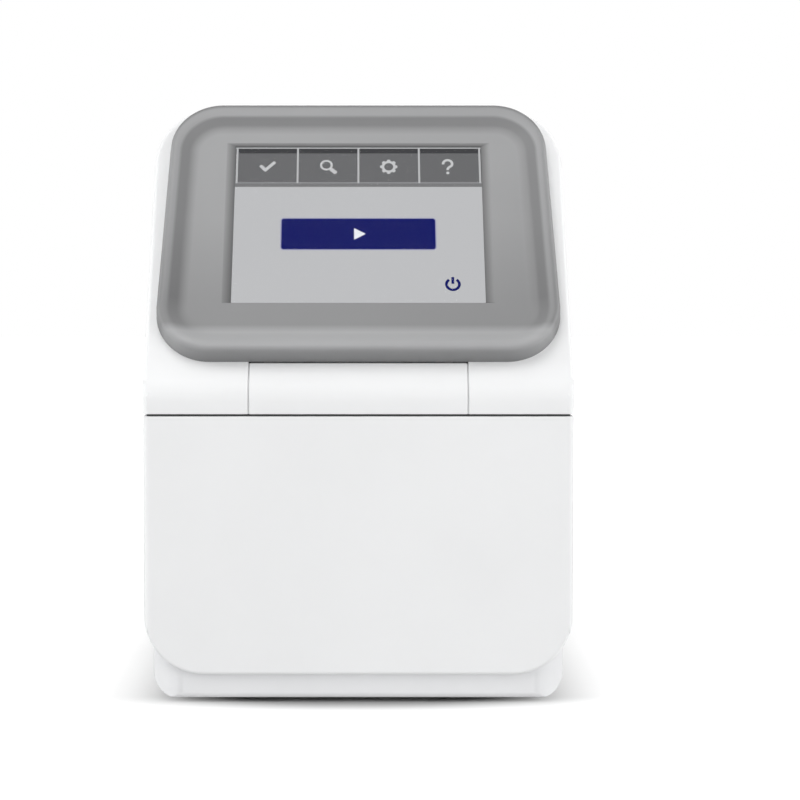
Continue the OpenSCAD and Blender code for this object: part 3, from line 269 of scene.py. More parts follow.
finish = {key: surface(*row) for key, row in {
    "shell": ("shellWhite", (0.80, 0.805, 0.81), 0.50, 0.0, (0.05, 0.012), (0.0006, 0.000012)),
    "base": ("baseWhite", (0.76, 0.765, 0.775), 0.55, 0.0, (0.05, 0.015), (0.0006, 0.000014)),
    # the bezel's grey carries painted shade and a painted highlight from bezelShade
    "bezel": ("bezelGrey", (0.272, 0.274, 0.278), 0.45, 0.0, (0.04, 0.02), (0.0003, 0.000006),
              None, bezelShade),
    "glass": ("screenGlass", (0.97, 0.98, 0.98), 0.02, 0.0, (0.05, 0.004), (0.004, 0.0000002),
              None, None, {"Transmission Weight": 1.0, "IOR": 1.04}),
    "steel": ("sheetSteel", (0.50, 0.51, 0.52), 0.36, 1.0, (0.02, 0.05), (0.0012, 0.000006), (0.12, 3, 3)),
    "blackSteel": ("blackSteel", (0.030, 0.030, 0.033), 0.55, 0.0, (0.02, 0.08), (0.0004, 0.00002)),
    "polished": ("polishedSteel", (0.60, 0.61, 0.62), 0.16, 1.0, (0.01, 0.03), (0.0005, 0.000002)),
    "aluminium": ("anodisedAluminium", (0.62, 0.63, 0.65), 0.38, 1.0, (0.015, 0.03), (0.0004, 0.000004)),
    "black": ("blackPlastic", (0.018, 0.018, 0.020), 0.48, 0.0, (0.01, 0.12), (0.0004, 0.00001)),
    "rubber": ("blackRubber", (0.012, 0.012, 0.013), 0.72, 0.0, (0.006, 0.2), (0.0003, 0.00001)),
    "tray": ("trayWhite", (0.80, 0.81, 0.815), 0.32, 0.0, (0.03, 0.015), (0.0008, 0.000005)),
    "acetal": ("acetalNatural", (0.76, 0.74, 0.67), 0.34, 0.0, (0.01, 0.03), (0.0008, 0.000004)),
    "blue": ("blueClear", (0.26, 0.70, 0.84), 0.18, 0.0, (0.0035, 0.20), (0.0009, 0.00001),
             None, discZones, {"Transmission Weight": 0.12, "IOR": 1.45}),
    "film": ("paleBlueFilm", (0.52, 0.86, 0.95), 0.10, 0.0, (0.005, 0.12), (0.003, 0.00010),
             None, None, {"Alpha": 0.16, "IOR": 1.5}),
    "reagent": ("reagentBlue", (0.015, 0.13, 0.24), 0.30, 0.0, (0.0025, 0.30), (0.0006, 0.00002)),
    "copper": ("windingCopper", (0.55, 0.23, 0.08), 0.35, 0.7, (0.004, 0.1), (0.00035, 0.00006),
               (0.05, 0.05, 1)),
    "label": ("labelSatin", (0.62, 0.63, 0.64), 0.42, 0.6, (0.01, 0.03), (0.0004, 0.000002)),
    # dark grey of the painted seam shade, and of the printed lines on the rating plate
    "seal": ("sealGrey", (0.055, 0.055, 0.058), 0.75, 0.0, (0.01, 0.1), (0.0004, 0.00001)),
    "mark": ("markWhite", (0.75, 0.75, 0.74), 0.5, 0.0, (0.004, 0.04), (0.0003, 0.000004)),
    "gold": ("contactGold", (0.75, 0.52, 0.18), 0.25, 1.0, (0.004, 0.04), (0.0003, 0.000002)),
}.items()}


def boardFinish():    # green solder mask over a net of copper tracks
    material, tree, shader = newMaterial("boardGreen")
    place = objectPlace(tree)
    tracks = given(tree.nodes.new("ShaderNodeTexBrick"), {
        "Scale": 1.0, "Mortar Size": 0.0003, "Brick Width": 0.009, "Row Height": 0.0021,
        "Color1": (0.010, 0.105, 0.045, 1), "Color2": (0.012, 0.120, 0.050, 1),
        "Mortar": (0.035, 0.23, 0.09, 1)})
    tree.links.new(place, tracks.inputs["Vector"])
    tree.links.new(tracks.outputs["Color"], shader.inputs["Base Color"])
    tree.links.new(spread(tree, noiseAt(tree, place, 0.004), 0.24, 0.34), shader.inputs["Roughness"])
    bumped(tree, shader, tracks.outputs["Fac"], 0.00003)
    return material


finish["board"] = boardFinish()
slotFinish = {
    "shell_white": "shell", "base_pale": "base", "bezel_grey": "bezel", "screen_glass": "glass",
    "sheet_steel": "steel", "black_steel": "blackSteel", "polished_steel": "polished",
    "aluminium": "aluminium", "black_plastic": "black", "black_rubber": "rubber",
    "white_plastic": "tray", "natural_plastic": "acetal", "blue_clear": "blue",
    "board_green": "board", "copper": "copper", "label": "label",
}
for node, piece in nodes.items():
    for holder in piece.material_slots:
        holder.material = finish[slotFinish[slotOf[node]]]
print("materials: %d" % len(finish))

# Mesh tools

def shaded(mesh, limit=32):    # smooth, with the edges over the limit kept sharp
    bm = bmesh.new()
    bm.from_mesh(mesh)
    for face in bm.faces:
        face.smooth = True
    for edge in bm.edges:
        edge.smooth = len(edge.link_faces) == 2 and edge.calc_face_angle(0) < math.radians(limit)
    bm.to_mesh(mesh)
    bm.free()


def meshObject(name, bm, material):
    mesh = bpy.data.meshes.new(name)
    bm.to_mesh(mesh)
    bm.free()
    mesh.materials.append(material)
    piece = bpy.data.objects.new(name, mesh)
    link(piece)
    return piece


def addPiece(name, bm, body, slotName, finishName, replaced=(), limit=32, flat=True):
    bmesh.ops.recalc_face_normals(bm, faces=bm.faces)
    piece = meshObject(name, bm, finish[finishName])
    shaded(piece.data, limit)
    if flat:    # large flat faces keep their own normals beside small rounded ones
        weighted = piece.modifiers.new("flatFaces", "WEIGHTED_NORMAL")
        weighted.keep_sharp = True
    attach(piece, body)
    if replaced:
        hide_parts(*replaced)


def nodeMesh(node):    # the node's own faces, joined and cleared of lines across flat faces
    bm = bmesh.new()
    bm.from_mesh(nodes[node].data)
    bmesh.ops.remove_doubles(bm, verts=bm.verts, dist=2e-6)
    bmesh.ops.dissolve_limit(bm, angle_limit=math.radians(0.4), verts=bm.verts, edges=bm.edges)
    return bm


def islands(node):    # lowest and highest corner of each loose part of a node, in mm
    bm = nodeMesh(node)
    left, found = set(bm.verts), []
    while left:
        stack, part = [left.pop()], []
        while stack:
            vert = stack.pop()
            part.append(vert.co / mm)
            for edge in vert.link_edges:
                other = edge.other_vert(vert)
                if other in left:
                    left.remove(other)
                    stack.append(other)
        found.append(tuple(Vector([pick(point[k] for point in part) for k in range(3)])
                           for pick in (min, max)))
    bm.free()
    return sorted(found, key=lambda pair: tuple(pair[0]))


def roundEdges(bm, radius, segments=2, limit=28, choose=None, convex=False):
    width = radius * mm

    def wanted(edge):
        if len(edge.link_faces) != 2 or edge.calc_face_angle(0) <= math.radians(limit):
            return False
        if edge.calc_length() <= width * 0.5 or (convex and not edge.is_convex):
            return False
        return choose is None or choose((edge.verts[0].co + edge.verts[1].co) / 2)

    bmesh.ops.bevel(bm, geom=[edge for edge in bm.edges if wanted(edge)], offset=width, segments=segments,
                    profile=0.5, affect="EDGES", clamp_overlap=False)


def standIn(node, bm, limit=32, finishName=None):    # a piece in the node's place, on its body, with the finish of its slot
    first, *rest = node.split("_")
    name = first + "".join(word.capitalize() for word in rest)
    slotName = slotOf[node]
    addPiece(name, bm, bodyOf[node], slotName, finishName or slotFinish[slotName], (node,), limit)


def softened(node, rounds, limit=32):    # the node's own shape, with (radius, segments, edges) rounded
    bm = nodeMesh(node)
    for radius, segments, choose in rounds:
        roundEdges(bm, radius, segments, 28, choose)
    standIn(node, bm, limit)


def behind(y):    # edges further back than y
    return lambda mid: mid.y > y * mm


def along(axis, x, y, z, sign=1):    # turns (a, b, height) in mm into a point, with the height along the axis
    if axis == "x":
        return lambda a, b, h: Vector((x + sign * h, y + a, z + b)) * mm
    if axis == "y":
        return lambda a, b, h: Vector((x + a, y + sign * h, z + b)) * mm
    return lambda a, b, h: Vector((x + a, y + b, z + sign * h)) * mm


def prism(bm, outline, place, low, high):    # closed solid over an outline
    bottom = [bm.verts.new(place(a, b, low)) for a, b in outline]
    top = [bm.verts.new(place(a, b, high)) for a, b in outline]
    count = len(outline)
    bm.faces.new(bottom[::-1])
    bm.faces.new(top)
    for k in range(count):
        bm.faces.new((bottom[k], bottom[(k + 1) % count], top[(k + 1) % count], top[k]))


def sweep(bm, rings, closed=True, capped=False):    # skin over rings of as many points
    made = [[bm.verts.new(point) for point in ring] for ring in rings]
    count = len(rings[0])
    for r in range(len(rings) - (0 if closed else 1)):
        here, there = made[r], made[(r + 1) % len(rings)]
        for k in range(count):
            k1 = (k + 1) % count
            bm.faces.new((here[k], here[k1], there[k1], there[k]))
    if capped:
        bm.faces.new(made[0][::-1])
        bm.faces.new(made[-1])


def collar(bm, outer, inner, place, low, high):    # closed solid between two outlines of as many points
    sweep(bm, [[place(a, b, h) for a, b in line]
               for line, h in ((outer, low), (outer, high), (inner, high), (inner, low))])


def lathe(bm, profile, place, steps=48, closed=False):    # (radius, height) pairs turned round the axis
    turns = [(math.cos(2 * math.pi * k / steps), math.sin(2 * math.pi * k / steps)) for k in range(steps)]
    sweep(bm, [[place(r * c, r * s, h) for c, s in turns] for r, h in profile], closed, not closed)


def arc(x, y, r, start, end, steps):
    turns = [math.radians(start + (end - start) * k / steps) for k in range(steps + 1)]
    return [(x + r * math.cos(a), y + r * math.sin(a)) for a in turns]


def circle(x, y, r, steps):
    return arc(x, y, r, 0, 360, steps)[:-1]


def rect(x0, x1, y0, y1):
    return [(x0, y0), (x1, y0), (x1, y1), (x0, y1)]


def roundRect(x0, x1, y0, y1, r, steps=6):
    return (arc(x1 - r, y0 + r, r, -90, 0, steps) + arc(x1 - r, y1 - r, r, 0, 90, steps)
            + arc(x0 + r, y1 - r, r, 90, 180, steps) + arc(x0 + r, y0 + r, r, 180, 270, steps))


def ribbon(path, half):    # outline of a line of even width
    left, right = [], []
    for k, (x, y) in enumerate(path):
        ax, ay = path[max(k - 1, 0)]
        bx, by = path[min(k + 1, len(path) - 1)]
        length = math.hypot(bx - ax, by - ay)
        nx, ny = -(by - ay) / length * half, (bx - ax) / length * half
        left.append((x + nx, y + ny))
        right.append((x - nx, y - ny))
    return left + right[::-1]


def hexScrew(bm, place, headR, headDeep, shankR, length, hexR, hexDeep):
    # place takes the depth below the head's face
    steps = 24
    around = [2 * math.pi * k / steps for k in range(steps)]
    flat = math.pi / 6    # half of one side of the hexagon, as an angle
    hexAt = lambda t: hexR * math.cos(flat) / math.cos((t + 1e-9) % (2 * flat) - flat)
    ring = lambda r, d: [place(r * math.cos(t), r * math.sin(t), d) for t in around]
    socket = lambda d: [place(hexAt(t) * math.cos(t), hexAt(t) * math.sin(t), d) for t in around]
    sweep(bm, [socket(hexDeep), socket(0.05), ring((hexR + headR) / 2, 0), ring(headR - 0.25, 0.02),
               ring(headR - 0.07, 0.12), ring(headR, 0.3), ring(headR, headDeep), ring(shankR, headDeep),
               ring(shankR, length - 0.4), ring(shankR * 0.7, length)], closed=False, capped=True)


# Shells

shell = {"foot": 1.6, "seam": 0.4, "crease": 2.0, "door": 0.3, "base": 0.3}    # edge radii
zone = {    # where those edges lie
    "footHigh": 27, "trayHigh": 14.5, "trayX": 70, "trayY": 100, "seamLow": 130, "seamHigh": 131.5,
    "doorX": 49.5, "doorY": -103.5, "doorHigh": 153.7, "creaseLow": 139.5, "screenX": 76.5,
    "screenHigh": 257.5, "panelY": 108.3, "panelHigh": 227.5,
}
coverLow, coverHigh = span("lower_cover")
housingHigh = span("upper_housing")[1]


def outside(mid, x, y):    # beyond x to a side, or beyond y to the front or back
    return abs(mid.x) > x * mm or abs(mid.y) > y * mm


def coverFoot(mid):    # lower edge of the cover, front and back
    return abs(mid.y) > (coverHigh.y - 0.5) * mm and mid.z < (coverLow.z + zone["footHigh"]) * mm


def coverSeam(mid):
    return outside(mid, coverHigh.x - 0.1, coverHigh.y - 0.1) and mid.z > (coverHigh.z - 1) * mm


def trayFoot(mid):    # lower outer edges of the base
    return outside(mid, zone["trayX"], zone["trayY"]) and mid.z < zone["trayHigh"] * mm


def housingSeam(mid):
    inSeam = zone["seamLow"] * mm < mid.z < zone["seamHigh"] * mm
    return inSeam and outside(mid, housingHigh.x - 0.1, housingHigh.y - 0.1)


def doorEdge(mid):
    x, y, z = mid / mm
    return abs(x) < zone["doorX"] and y < zone["doorY"] and z < zone["doorHigh"]


def housingCrease(mid):    # long edges between the slope, the shoulders, the sides and the front
    x, y, z = mid / mm
    atScreen = abs(x) < zone["screenX"] and z < zone["screenHigh"]
    atPanel = y > zone["panelY"] and z < zone["panelHigh"]
    return z > zone["creaseLow"] and not atScreen and not atPanel


def buildHousing():
    bm = nodeMesh("upper_housing")
    roundEdges(bm, shell["crease"], 3, 14, housingCrease, convex=True)
    roundEdges(bm, shell["seam"], 2, 28, housingSeam)
    roundEdges(bm, shell["door"], 2, 28, doorEdge)
    standIn("upper_housing", bm)


door = {"front": 115, "brow": 135.956, "r": 17}    # the front, and the curve up to the slope


def drawerOutline(inset, low, high):    # front of the drawer from the side, as (y, z) at a depth behind it
    start, r = door["front"], door["r"]
    points = [(-start + inset, low)]
    points += arc(-start + r, door["brow"], r - inset, 180, 180 - slope["lean"], 8)
    last = points[-1]
    rise = (high - last[1]) / slopeCos
    points.append((last[0] + rise * slopeSin, high))
    return points


doorStrip = {"behind": (1.2, 3.5), "z": (130.6, 152.6), "x": (48.75, 49.2)}


def buildDoorStrips():    # keep the light out of the gaps beside the drawer front
    bm = bmesh.new()
    outer, inner = (drawerOutline(inset, *doorStrip["z"]) for inset in doorStrip["behind"])
    for side in (-1, 1):
        prism(bm, outer + inner[::-1], along("x", 0, 0, 0, side), *doorStrip["x"])
    addPiece("doorStrips", bm, "housing", "shell_white", "shell")


seamStrip = {"behind": 1.7, "thick": 0.9, "corner": 3, "least": 0.4, "z": (129.55, 130.45)}


def buildSeam():    # dark strip in the seam as painted shade, dark against the shells
    wide, deep, out = housingHigh.x, housingHigh.y, seamStrip["behind"]
    r, least = seamStrip["corner"], seamStrip["least"]
    outline = lambda i: roundRect(-wide + i, wide - i, -deep + i, deep - i, max(r - i, least))
    bm = bmesh.new()
    collar(bm, outline(out), outline(out + seamStrip["thick"]), along("z", 0, 0, 0), *seamStrip["z"])
    addPiece("seamStrip", bm, "housing", "black_rubber", "seal")


cornerPlug = {"inner": 71, "trayCorner": 15, "gap": 0.1, "thick": 2.4, "drop": 0.15, "rise": 10}


def buildCornerPlugs():    # close the base behind the rear panel's round corners
    c = cornerPlug
    panelLow, trayHigh = span("rear_panel")[0], span("base_tray")[1]
    r, inner, back = c["trayCorner"], c["inner"], panelLow.y - c["gap"]
    front = panelLow.y - c["gap"] - c["thick"]
    cx, cy = trayHigh.x - r, coverHigh.y - (coverHigh.x - trayHigh.x) - r
    angle = lambda y: math.degrees(math.asin((y - cy) / r))
    outline = [(inner, front)] + arc(cx, cy, r, angle(front), angle(back), 6) + [(inner, back)]
    bm = bmesh.new()
    for side in (-1, 1):
        prism(bm, [(side * a, b) for a, b in outline][::side], along("z", 0, 0, 0),
              panelLow.z - c["drop"], panelLow.z + c["rise"])
    addPiece("cornerPlugs", bm, "housing", "base_pale", "base")


def buildFeet():
    bm = bmesh.new()
    for low, high in islands("rubber_feet"):
        r, (x, y, z) = (high.x - low.x) / 2, middle(low, high)
        profile = [(r - 2.8, 0.45), (r - 2.4, 0), (r - 0.7, 0), (r, 0.7), (r, high.z - 0.1),
                   (r - 0.1, high.z)]
        lathe(bm, profile, along("z", x, y, low.z))
    standIn("rubber_feet", bm)


softened("lower_cover", [(shell["foot"], 4, coverFoot), (shell["seam"], 2, coverSeam)])
buildHousing()
softened("base_tray", [(shell["base"], 2, trayFoot)])
softened("rear_panel", [(shell["base"], 2, None)])
buildDoorStrips()
buildSeam()
buildCornerPlugs()
buildFeet()
print("shells done")

# Bezel round the screen, in mm on the slope

bezel = {"foot": 27.2, "top": 109.8, "half": 91.5, "taper": 3.4, "corner": 25, "steps": 18,
         "litHalf": 57.6, "litHigh": 86.4, "wall": 2.4, "glass": 5.8, "sightCorner": 0.6,
         # sunk edge: beside, below and above the lit area, and height off the slope
         "sight": [(4.3, 0.6, 1.7, 7.0), (4, 0.4, 1.4, 6.9), (0.1, 0.1, 0.1, 6.15), (0, 0, 0, 6.0)],
         # inset from the edge, height off the slope, and how far the upper corners drop
         "profile": [(0, 0, 0), (0.55, 6.6, 0), (1.1, 8.6, 0), (2.2, 9.6, 0), (3.6, 9.8, 1.2),
                     (5.6, 9.4, 2.4), (7.9, 8.42, 2.4), (10.1, 7.5, 2.4), (12.1, 7.12, 2.4),
                     (14.4, 7.0, 2.4), (16.8, 7.0, 2.4)]}


def cornered(centres, r, out):    # ring with a round corner from each (x, p, angle)
    return [onSlope(x, p, out) for cx, cp, a in centres for x, p in arc(cx, cp, r, a, a + 90, bezel["steps"])]


def bezelRing(inset, out, drop=0):    # drop lowers the upper corners
    b = bezel
    low, high = -b["foot"] + b["corner"], b["top"] - b["corner"] - drop
    halfAt = lambda p: b["half"] - b["taper"] * p / b["top"]
    centres = [(halfAt(low) - b["corner"], low, -90), (halfAt(high) - b["corner"], high, 0),
               (b["corner"] - halfAt(high), high, 90), (b["corner"] - halfAt(low), low, 180)]
    return cornered(centres, b["corner"] - inset, out)


def sightRing(side, foot, head, out):
    b = bezel
    r = b["sightCorner"]
    x, high = b["litHalf"] + side - r, b["litHigh"] + head - r
    centres = [(x, r - foot, -90), (x, high, 0), (-x, high, 90), (-x, r - foot, 180)]
    return cornered(centres, r, out)


def smoothProfile(points, steps=3):    # Catmull-Rom through the points
    out = []
    for k in range(len(points) - 1):
        p0, p1, p2, p3 = (points[min(max(k + d, 0), len(points) - 1)] for d in (-1, 0, 1, 2))
        for s in range(steps):
            t = s / steps
            blend = lambda a, b, c, d: 0.5 * (2 * b + (c - a) * t + (2 * a - 5 * b + 4 * c - d) * t * t
                                              + (3 * b - a - 3 * c + d) * t ** 3)
            out.append(tuple(blend(*row) for row in zip(p0, p1, p2, p3)))
    return out + [points[-1]]


def buildBezel():
    b = bezel
    bm = bmesh.new()
    rings = [bezelRing(*b["profile"][0])] + [bezelRing(*row) for row in smoothProfile(b["profile"][1:])]
    rings += [sightRing(*row) for row in b["sight"]]
    rings += [sightRing(0, 0, 0, b["glass"]), bezelRing(b["wall"], b["glass"]), bezelRing(b["wall"], 0)]
    sweep(bm, rings)
    standIn("screen_bezel", bm, 38)


buildBezel()
print("bezel done")

# Display: layers under the touch glass, in mm on the slope

display = {"level": 4.1, "halfX": 58.4, "low": -0.8, "high": 87.2, "tab": 28.5, "iconP": 76.2,
           "barLow": 66.7, "barHigh": 83.9, "lineLow": 86.65, "lineHalf": 0.45, "soft": 0.8, "foot": 1.9,
           "button": (-35.5, 35.5, 30.1, 46.9, 1.2), "edge": 0.5, "power": (43.0, 11.1, 3.6, 0.65),
           # height over the level and thickness, of most layers and of some by name
           "layer": (0.10, 0.04),
           "layers": {"Back": (0, 0.10), "Lines": (0.14, 0.03), "Icons": (0.14, 0.04),
                      "Button": (0.10, 0.05), "ButtonMark": (0.15, 0.03)}}

for tone, colour in {
    "Grey": (0.527, 0.527, 0.540), "Bar": (0.150, 0.150, 0.155), "Shade": (0.058, 0.058, 0.062),
    "Foot": (0.200, 0.200, 0.205), "Line": (0.50, 0.50, 0.51), "SoftLine": (0.27, 0.27, 0.28),
    "Navy": (0.008, 0.0116, 0.127), "Lilac": (0.33, 0.33, 0.50), "Icon": (0.58, 0.58, 0.59),
    "White": (0.86, 0.87, 0.90),
}.items():
    finish["display" + tone] = litLayer("display" + tone, colour)


def displayLayer(name, tone, shapes):
    bm = bmesh.new()
    level, thick = display["layers"].get(name, display["layer"])
    low, high = display["level"] + level, display["level"] + level + thick
    for shape in shapes:
        if len(shape) == 2 and isinstance(shape[0], list):
            collar(bm, shape[0], shape[1], onSlope, low, high)
        else:
            prism(bm, shape, onSlope, low, high)
    addPiece("display" + name, bm, "housing", "screen_glass", "display" + tone, (), 20, False)


def gear(x, p, r, teeth):    # toothed ring, as its outer and inner outline
    tooth = ((-0.32, 0.82), (-0.21, 1.0), (0.21, 1.0), (0.32, 0.82))
    spots = [(2 * math.pi * (k + share) / teeth, r * size) for k in range(teeth) for share, size in tooth]
    outer = [(x + size * math.cos(a), p + size * math.sin(a)) for a, size in spots]
    return [outer, [(x + r * 0.52 * math.cos(a), p + r * 0.52 * math.sin(a)) for a, size in spots]]


def buildDisplay():
    d = display
    half, tab, iconP = d["halfX"], d["tab"], d["iconP"]
    low, high, line = d["barLow"], d["barHigh"], d["lineHalf"]
    band = lambda name, tone, p0, p1: displayLayer(name, tone, [rect(-half, half, p0, p1)])
    band("Back", "Grey", d["low"], d["high"])
    band("Bar", "Bar", low + d["soft"], high)
    band("BarHead", "Shade", high, d["lineLow"])
    band("BarLine", "SoftLine", low, low + d["soft"])
    band("BarFoot", "Foot", low - d["foot"], low)
    lines = [rect(k * tab - line, k * tab + line, low + 0.2, d["lineLow"]) for k in (-2, -1, 0, 1, 2)]
    lines.append(rect(-half, half, d["lineLow"], d["high"]))
    displayLayer("Lines", "Line", lines)
    x = -1.5 * tab
    check = [(x - 3.9, iconP + 0.2), (x - 2.8, iconP + 1.3), (x - 0.9, iconP - 0.7), (x + 3.0, iconP + 3.3),
             (x + 4.1, iconP + 2.2), (x - 0.9, iconP - 3.0)]
    x = -0.5 * tab - 0.8
    lens = [circle(x, iconP + 0.9, 3.0, 28), circle(x, iconP + 0.9, 2.0, 28)]
    handle = ribbon([(x + 2.1, iconP - 1.2), (x + 4.6, iconP - 3.7)], 0.95)
    x = 1.5 * tab - 0.8
    hook = ribbon([(x - 2.1, iconP + 1.4)] + arc(x, iconP + 1.7, 2.1, 172, -38, 14)
                  + [(x + 0.45, iconP - 0.4), (x, iconP - 1.3), (x, iconP - 1.9)], 0.62)
    icons = [check, lens, handle, gear(0.5 * tab, iconP, 4.1, 8), hook, circle(x, iconP - 3.5, 0.78, 16)]
    displayLayer("Icons", "Icon", icons)
    x0, x1, p0, p1, r = d["button"]
    outline = lambda i: roundRect(x0 - i, x1 + i, p0 - i, p1 + i, r + i)
    displayLayer("Button", "Navy", [outline(0)])
    displayLayer("ButtonEdge", "Lilac", [[outline(d["edge"]), outline(0)]])
    p = (p0 + p1) / 2
    displayLayer("ButtonMark", "White", [[(-2.0, p - 3.2), (3.4, p), (-2.0, p + 3.2)]])
    x, p, r, half = d["power"]
    ring = ribbon(arc(x, p, r - half, 125, 415, 30), half)
    stem = ribbon([(x, p + 0.3), (x, p + r + 0.3)], half)
    displayLayer("Power", "Navy", [ring, stem])


buildDisplay()
softened("touch_glass", [(0.15, 1, None)])
print("display done")

# Drawer

latch = {"x": -47.4, "out": 0.6, "y": (-75.5, -69.0), "z": (132.4, 135.8), "corner": 0.9,
         "screw": (-78.6, 134.0, 1.2), "screwOut": 0.8, "screwHead": 0.75, "screwLong": 1.4,
         "shank": 0.72, "hex": 0.6, "hexDeep": 0.4}
gasketLow, gasketHigh = span("drawer_gasket")


def buildGasket():    # two soft lips round the plug, over its sides and top
    thick = gasketHigh.y - gasketLow.y
    inX, inZ, low = gasketHigh.x - thick, gasketHigh.z - thick, gasketLow.z
    lips = [(0, 0.1), (0.6, 0), (1.0, 0.4), (1.3, 0.1), (thick, 0.55), (thick, 0.8), (1.25, 0.95),
            (thick, 1.3), (1.7, 1.65), (1.0, thick), (0, thick)]
    bend, steps = 0.4, 6
    rings = []
    for x, z, start, end in ((inX - bend, inZ - bend, 0, 90), (bend - inX, inZ - bend, 90, 180)):
        for k in range(steps + 1):
            a = math.radians(start + (end - start) * k / steps)
            place = lambda u, v: Vector((x + (bend + u) * math.cos(a), gasketLow.y + v,
                                         z + (bend + u) * math.sin(a))) * mm
            rings.append([place(u, v) for u, v in lips])
    foot = lambda sign: [Vector((sign * (inX + u), gasketLow.y + v, low)) * mm for u, v in lips]
    bm = bmesh.new()
    sweep(bm, [foot(1)] + rings + [foot(-1)], closed=False, capped=True)
    standIn("drawer_gasket", bm, 40)


def buildLatch():
    c = latch
    (y0, y1), (z0, z1) = c["y"], c["z"]
    place = along("x", c["x"], 0, 0, -1)
    r, out = c["corner"], c["out"]
    plate = lambda i, h: [place(a, b, h) for a, b in roundRect(y0 + i, y1 - i, z0 + i, z1 - i, r - i)]
    bm = bmesh.new()
    sweep(bm, [plate(0, -0.1), plate(0, out - 0.2), plate(0.08, out - 0.06), plate(0.25, out)],
          closed=False, capped=True)
    standIn("drawer_latch", bm)
    y, z, headR = c["screw"]
    bm = bmesh.new()
    place = along("x", c["x"] - c["screwOut"], y, z)
    hexScrew(bm, place, headR, c["screwHead"], c["shank"], c["screwLong"], c["hex"], c["hexDeep"])
    addPiece("latchScrew", bm, "drawer", "black_plastic", "black")


softened("drawer_front", [(0.4, 2, None)])
softened("drawer_tray", [(0.3, 2, None)])
buildGasket()
buildLatch()
print("drawer done")

# Reagent disc on its turntable

disc = {"cells": 28, "cellR": 33, "cell": (5.0, 3.2), "cellDeep": 7, "fill": 5.8,
        "pockets": 6, "pocket": (17.2, 26.8), "pocketFill": (3, 7.6),
        "pocketWeb": (1.7, 1.62), "pocketTurn": 33.33,    # half webs between the pockets
        "line": (10.6, 40.4, 0.2, 250), "lineLevel": (-0.02, 0.06), "rim": 40.5, "round": 0.3}
filmHigh = span("disc_cover")[1]
ringLow, ringHigh = span("hub_ring")
rotorLow, rotorHigh = span("spindle_rotor")


def turned(outline, angle):
    c, s = math.cos(math.radians(angle)), math.sin(math.radians(angle))
    return [(a * c - b * s, a * s + b * c) for a, b in outline]


def pocketOutline():
    inner, outer = disc["pocket"]
    first, last = disc["pocketWeb"]
    start = lambda r: math.degrees(math.asin(first / r))
    end = lambda r: math.degrees(math.acos(last / r)) - disc["pocketTurn"]
    return arc(0, 0, outer, start(outer), end(outer), 10) + arc(0, 0, inner, end(inner), start(inner), 8)


def discRim(mid):    # edges round the outside of the disc
    return math.hypot(mid.x, mid.y - discAxisY * mm) > disc["rim"] * mm


def buildDisc():
    top, place = discHigh.z, along("z", 0, discAxisY, 0)
    softened("disc_body", [(disc["round"], 2, discRim)], 40)
    bm = bmesh.new()
    a, b = disc["cell"]
    for k in range(disc["cells"]):
        cell = [(disc["cellR"] + u, v) for u, v in roundRect(-a / 2, a / 2, -b / 2, b / 2, 0.5, 3)]
        floor = top - disc["cellDeep"]
        prism(bm, turned(cell, (k + 0.5) * 360 / disc["cells"]), place, floor, floor + disc["fill"])
    low, high = disc["pocketFill"]
    for k in range(disc["pockets"]):
        outline = turned(pocketOutline(), k * 360 / disc["pockets"])
        prism(bm, outline, place, discLow.z + low, discLow.z + high)
    addPiece("discReagents", bm, "spindle", "blue_clear", "reagent", (), 40)

    bm = nodeMesh("disc_cover")
    roundEdges(bm, disc["round"], 2, 28, discRim)
    standIn("disc_cover", bm, 40, "film")
    bm = bmesh.new()
    r0, r1, half, angle = disc["line"]
    low, high = disc["lineLevel"]
    prism(bm, turned(rect(r0, r1, -half, half), angle), place, filmHigh.z + low, filmHigh.z + high)
    addPiece("discLine", bm, "spindle", "blue_clear", "mark")


# radii of the rotor, and heights from the table that carries the disc
rotor = {"shaft": 2, "thick": 3, "magnet": (11.6, 14), "lift": 1.1, "table": 18, "boss": 7.7, "neck": 5.78,
         "cup": 3.0, "cupFoot": 2.6, "cupDeep": 2.4, "soft": 0.3}


def buildHub():
    place = along("z", 0, discAxisY, 0)
    r, z0, z1 = (ringHigh.x - ringLow.x) / 2, ringLow.z, ringHigh.z
    bm = bmesh.new()
    lathe(bm, [(r, z0), (r, z1 - 0.4), (r - 0.12, z1 - 0.12), (r - 0.4, z1), (r - 1.2, z1),
               (r - 1.55, z1 - 0.15), (r - 1.68, z1 - 0.45), (r - 1.68, z0)], place, 64, closed=True)
    standIn("hub_ring", bm, 40)
    f, z, top, table = rotor, rotorLow.z, rotorHigh.z, discLow.z
    soft, under, foot = f["soft"], table - f["thick"], z + f["lift"]
    (m0, m1), edge, boss, neck, cup = f["magnet"], f["table"], f["boss"], f["neck"], f["cup"]
    bm = bmesh.new()
    lathe(bm, [(f["shaft"], z), (f["shaft"], under), (m0, under), (m0, foot), (m1, foot), (m1, under),
               (edge - soft, under), (edge, under + soft), (edge, table - soft), (edge - soft, table),
               (boss, table), (boss, z0 - 0.2), (boss - 0.2, z0), (neck, z0), (neck, top - 0.25),
               (neck - 0.28, top), (cup + soft, top), (cup, top - soft),
               (f["cupFoot"], top - f["cupDeep"])], place, 64)
    standIn("spindle_rotor", bm, 40)


buildDisc()
buildHub()
print("disc done")

# Fasteners

# axis, height of the head and depth of its socket
screws = {"panel_screws": ("y", 0.9, 0.7), "fan_screws": ("y", 0.9, 0.7), "base_screws": ("z", 2.4, 1.4)}
screwR = {"hex": 1.25, "shank": 1.5}


def buildScrews(node, axis, headDeep, hexDeep):
    bm = bmesh.new()
    for low, high in islands(node):
        x, y, z = middle(low, high)
        place, length = along("z", x, y, low.z), high.z - low.z
        if axis == "y":
            place, length = along("y", x, high.y, z, -1), high.y - low.y
        hexScrew(bm, place, (high.x - low.x) / 2, headDeep, screwR["shank"], length, screwR["hex"], hexDeep)
    standIn(node, bm, 35)


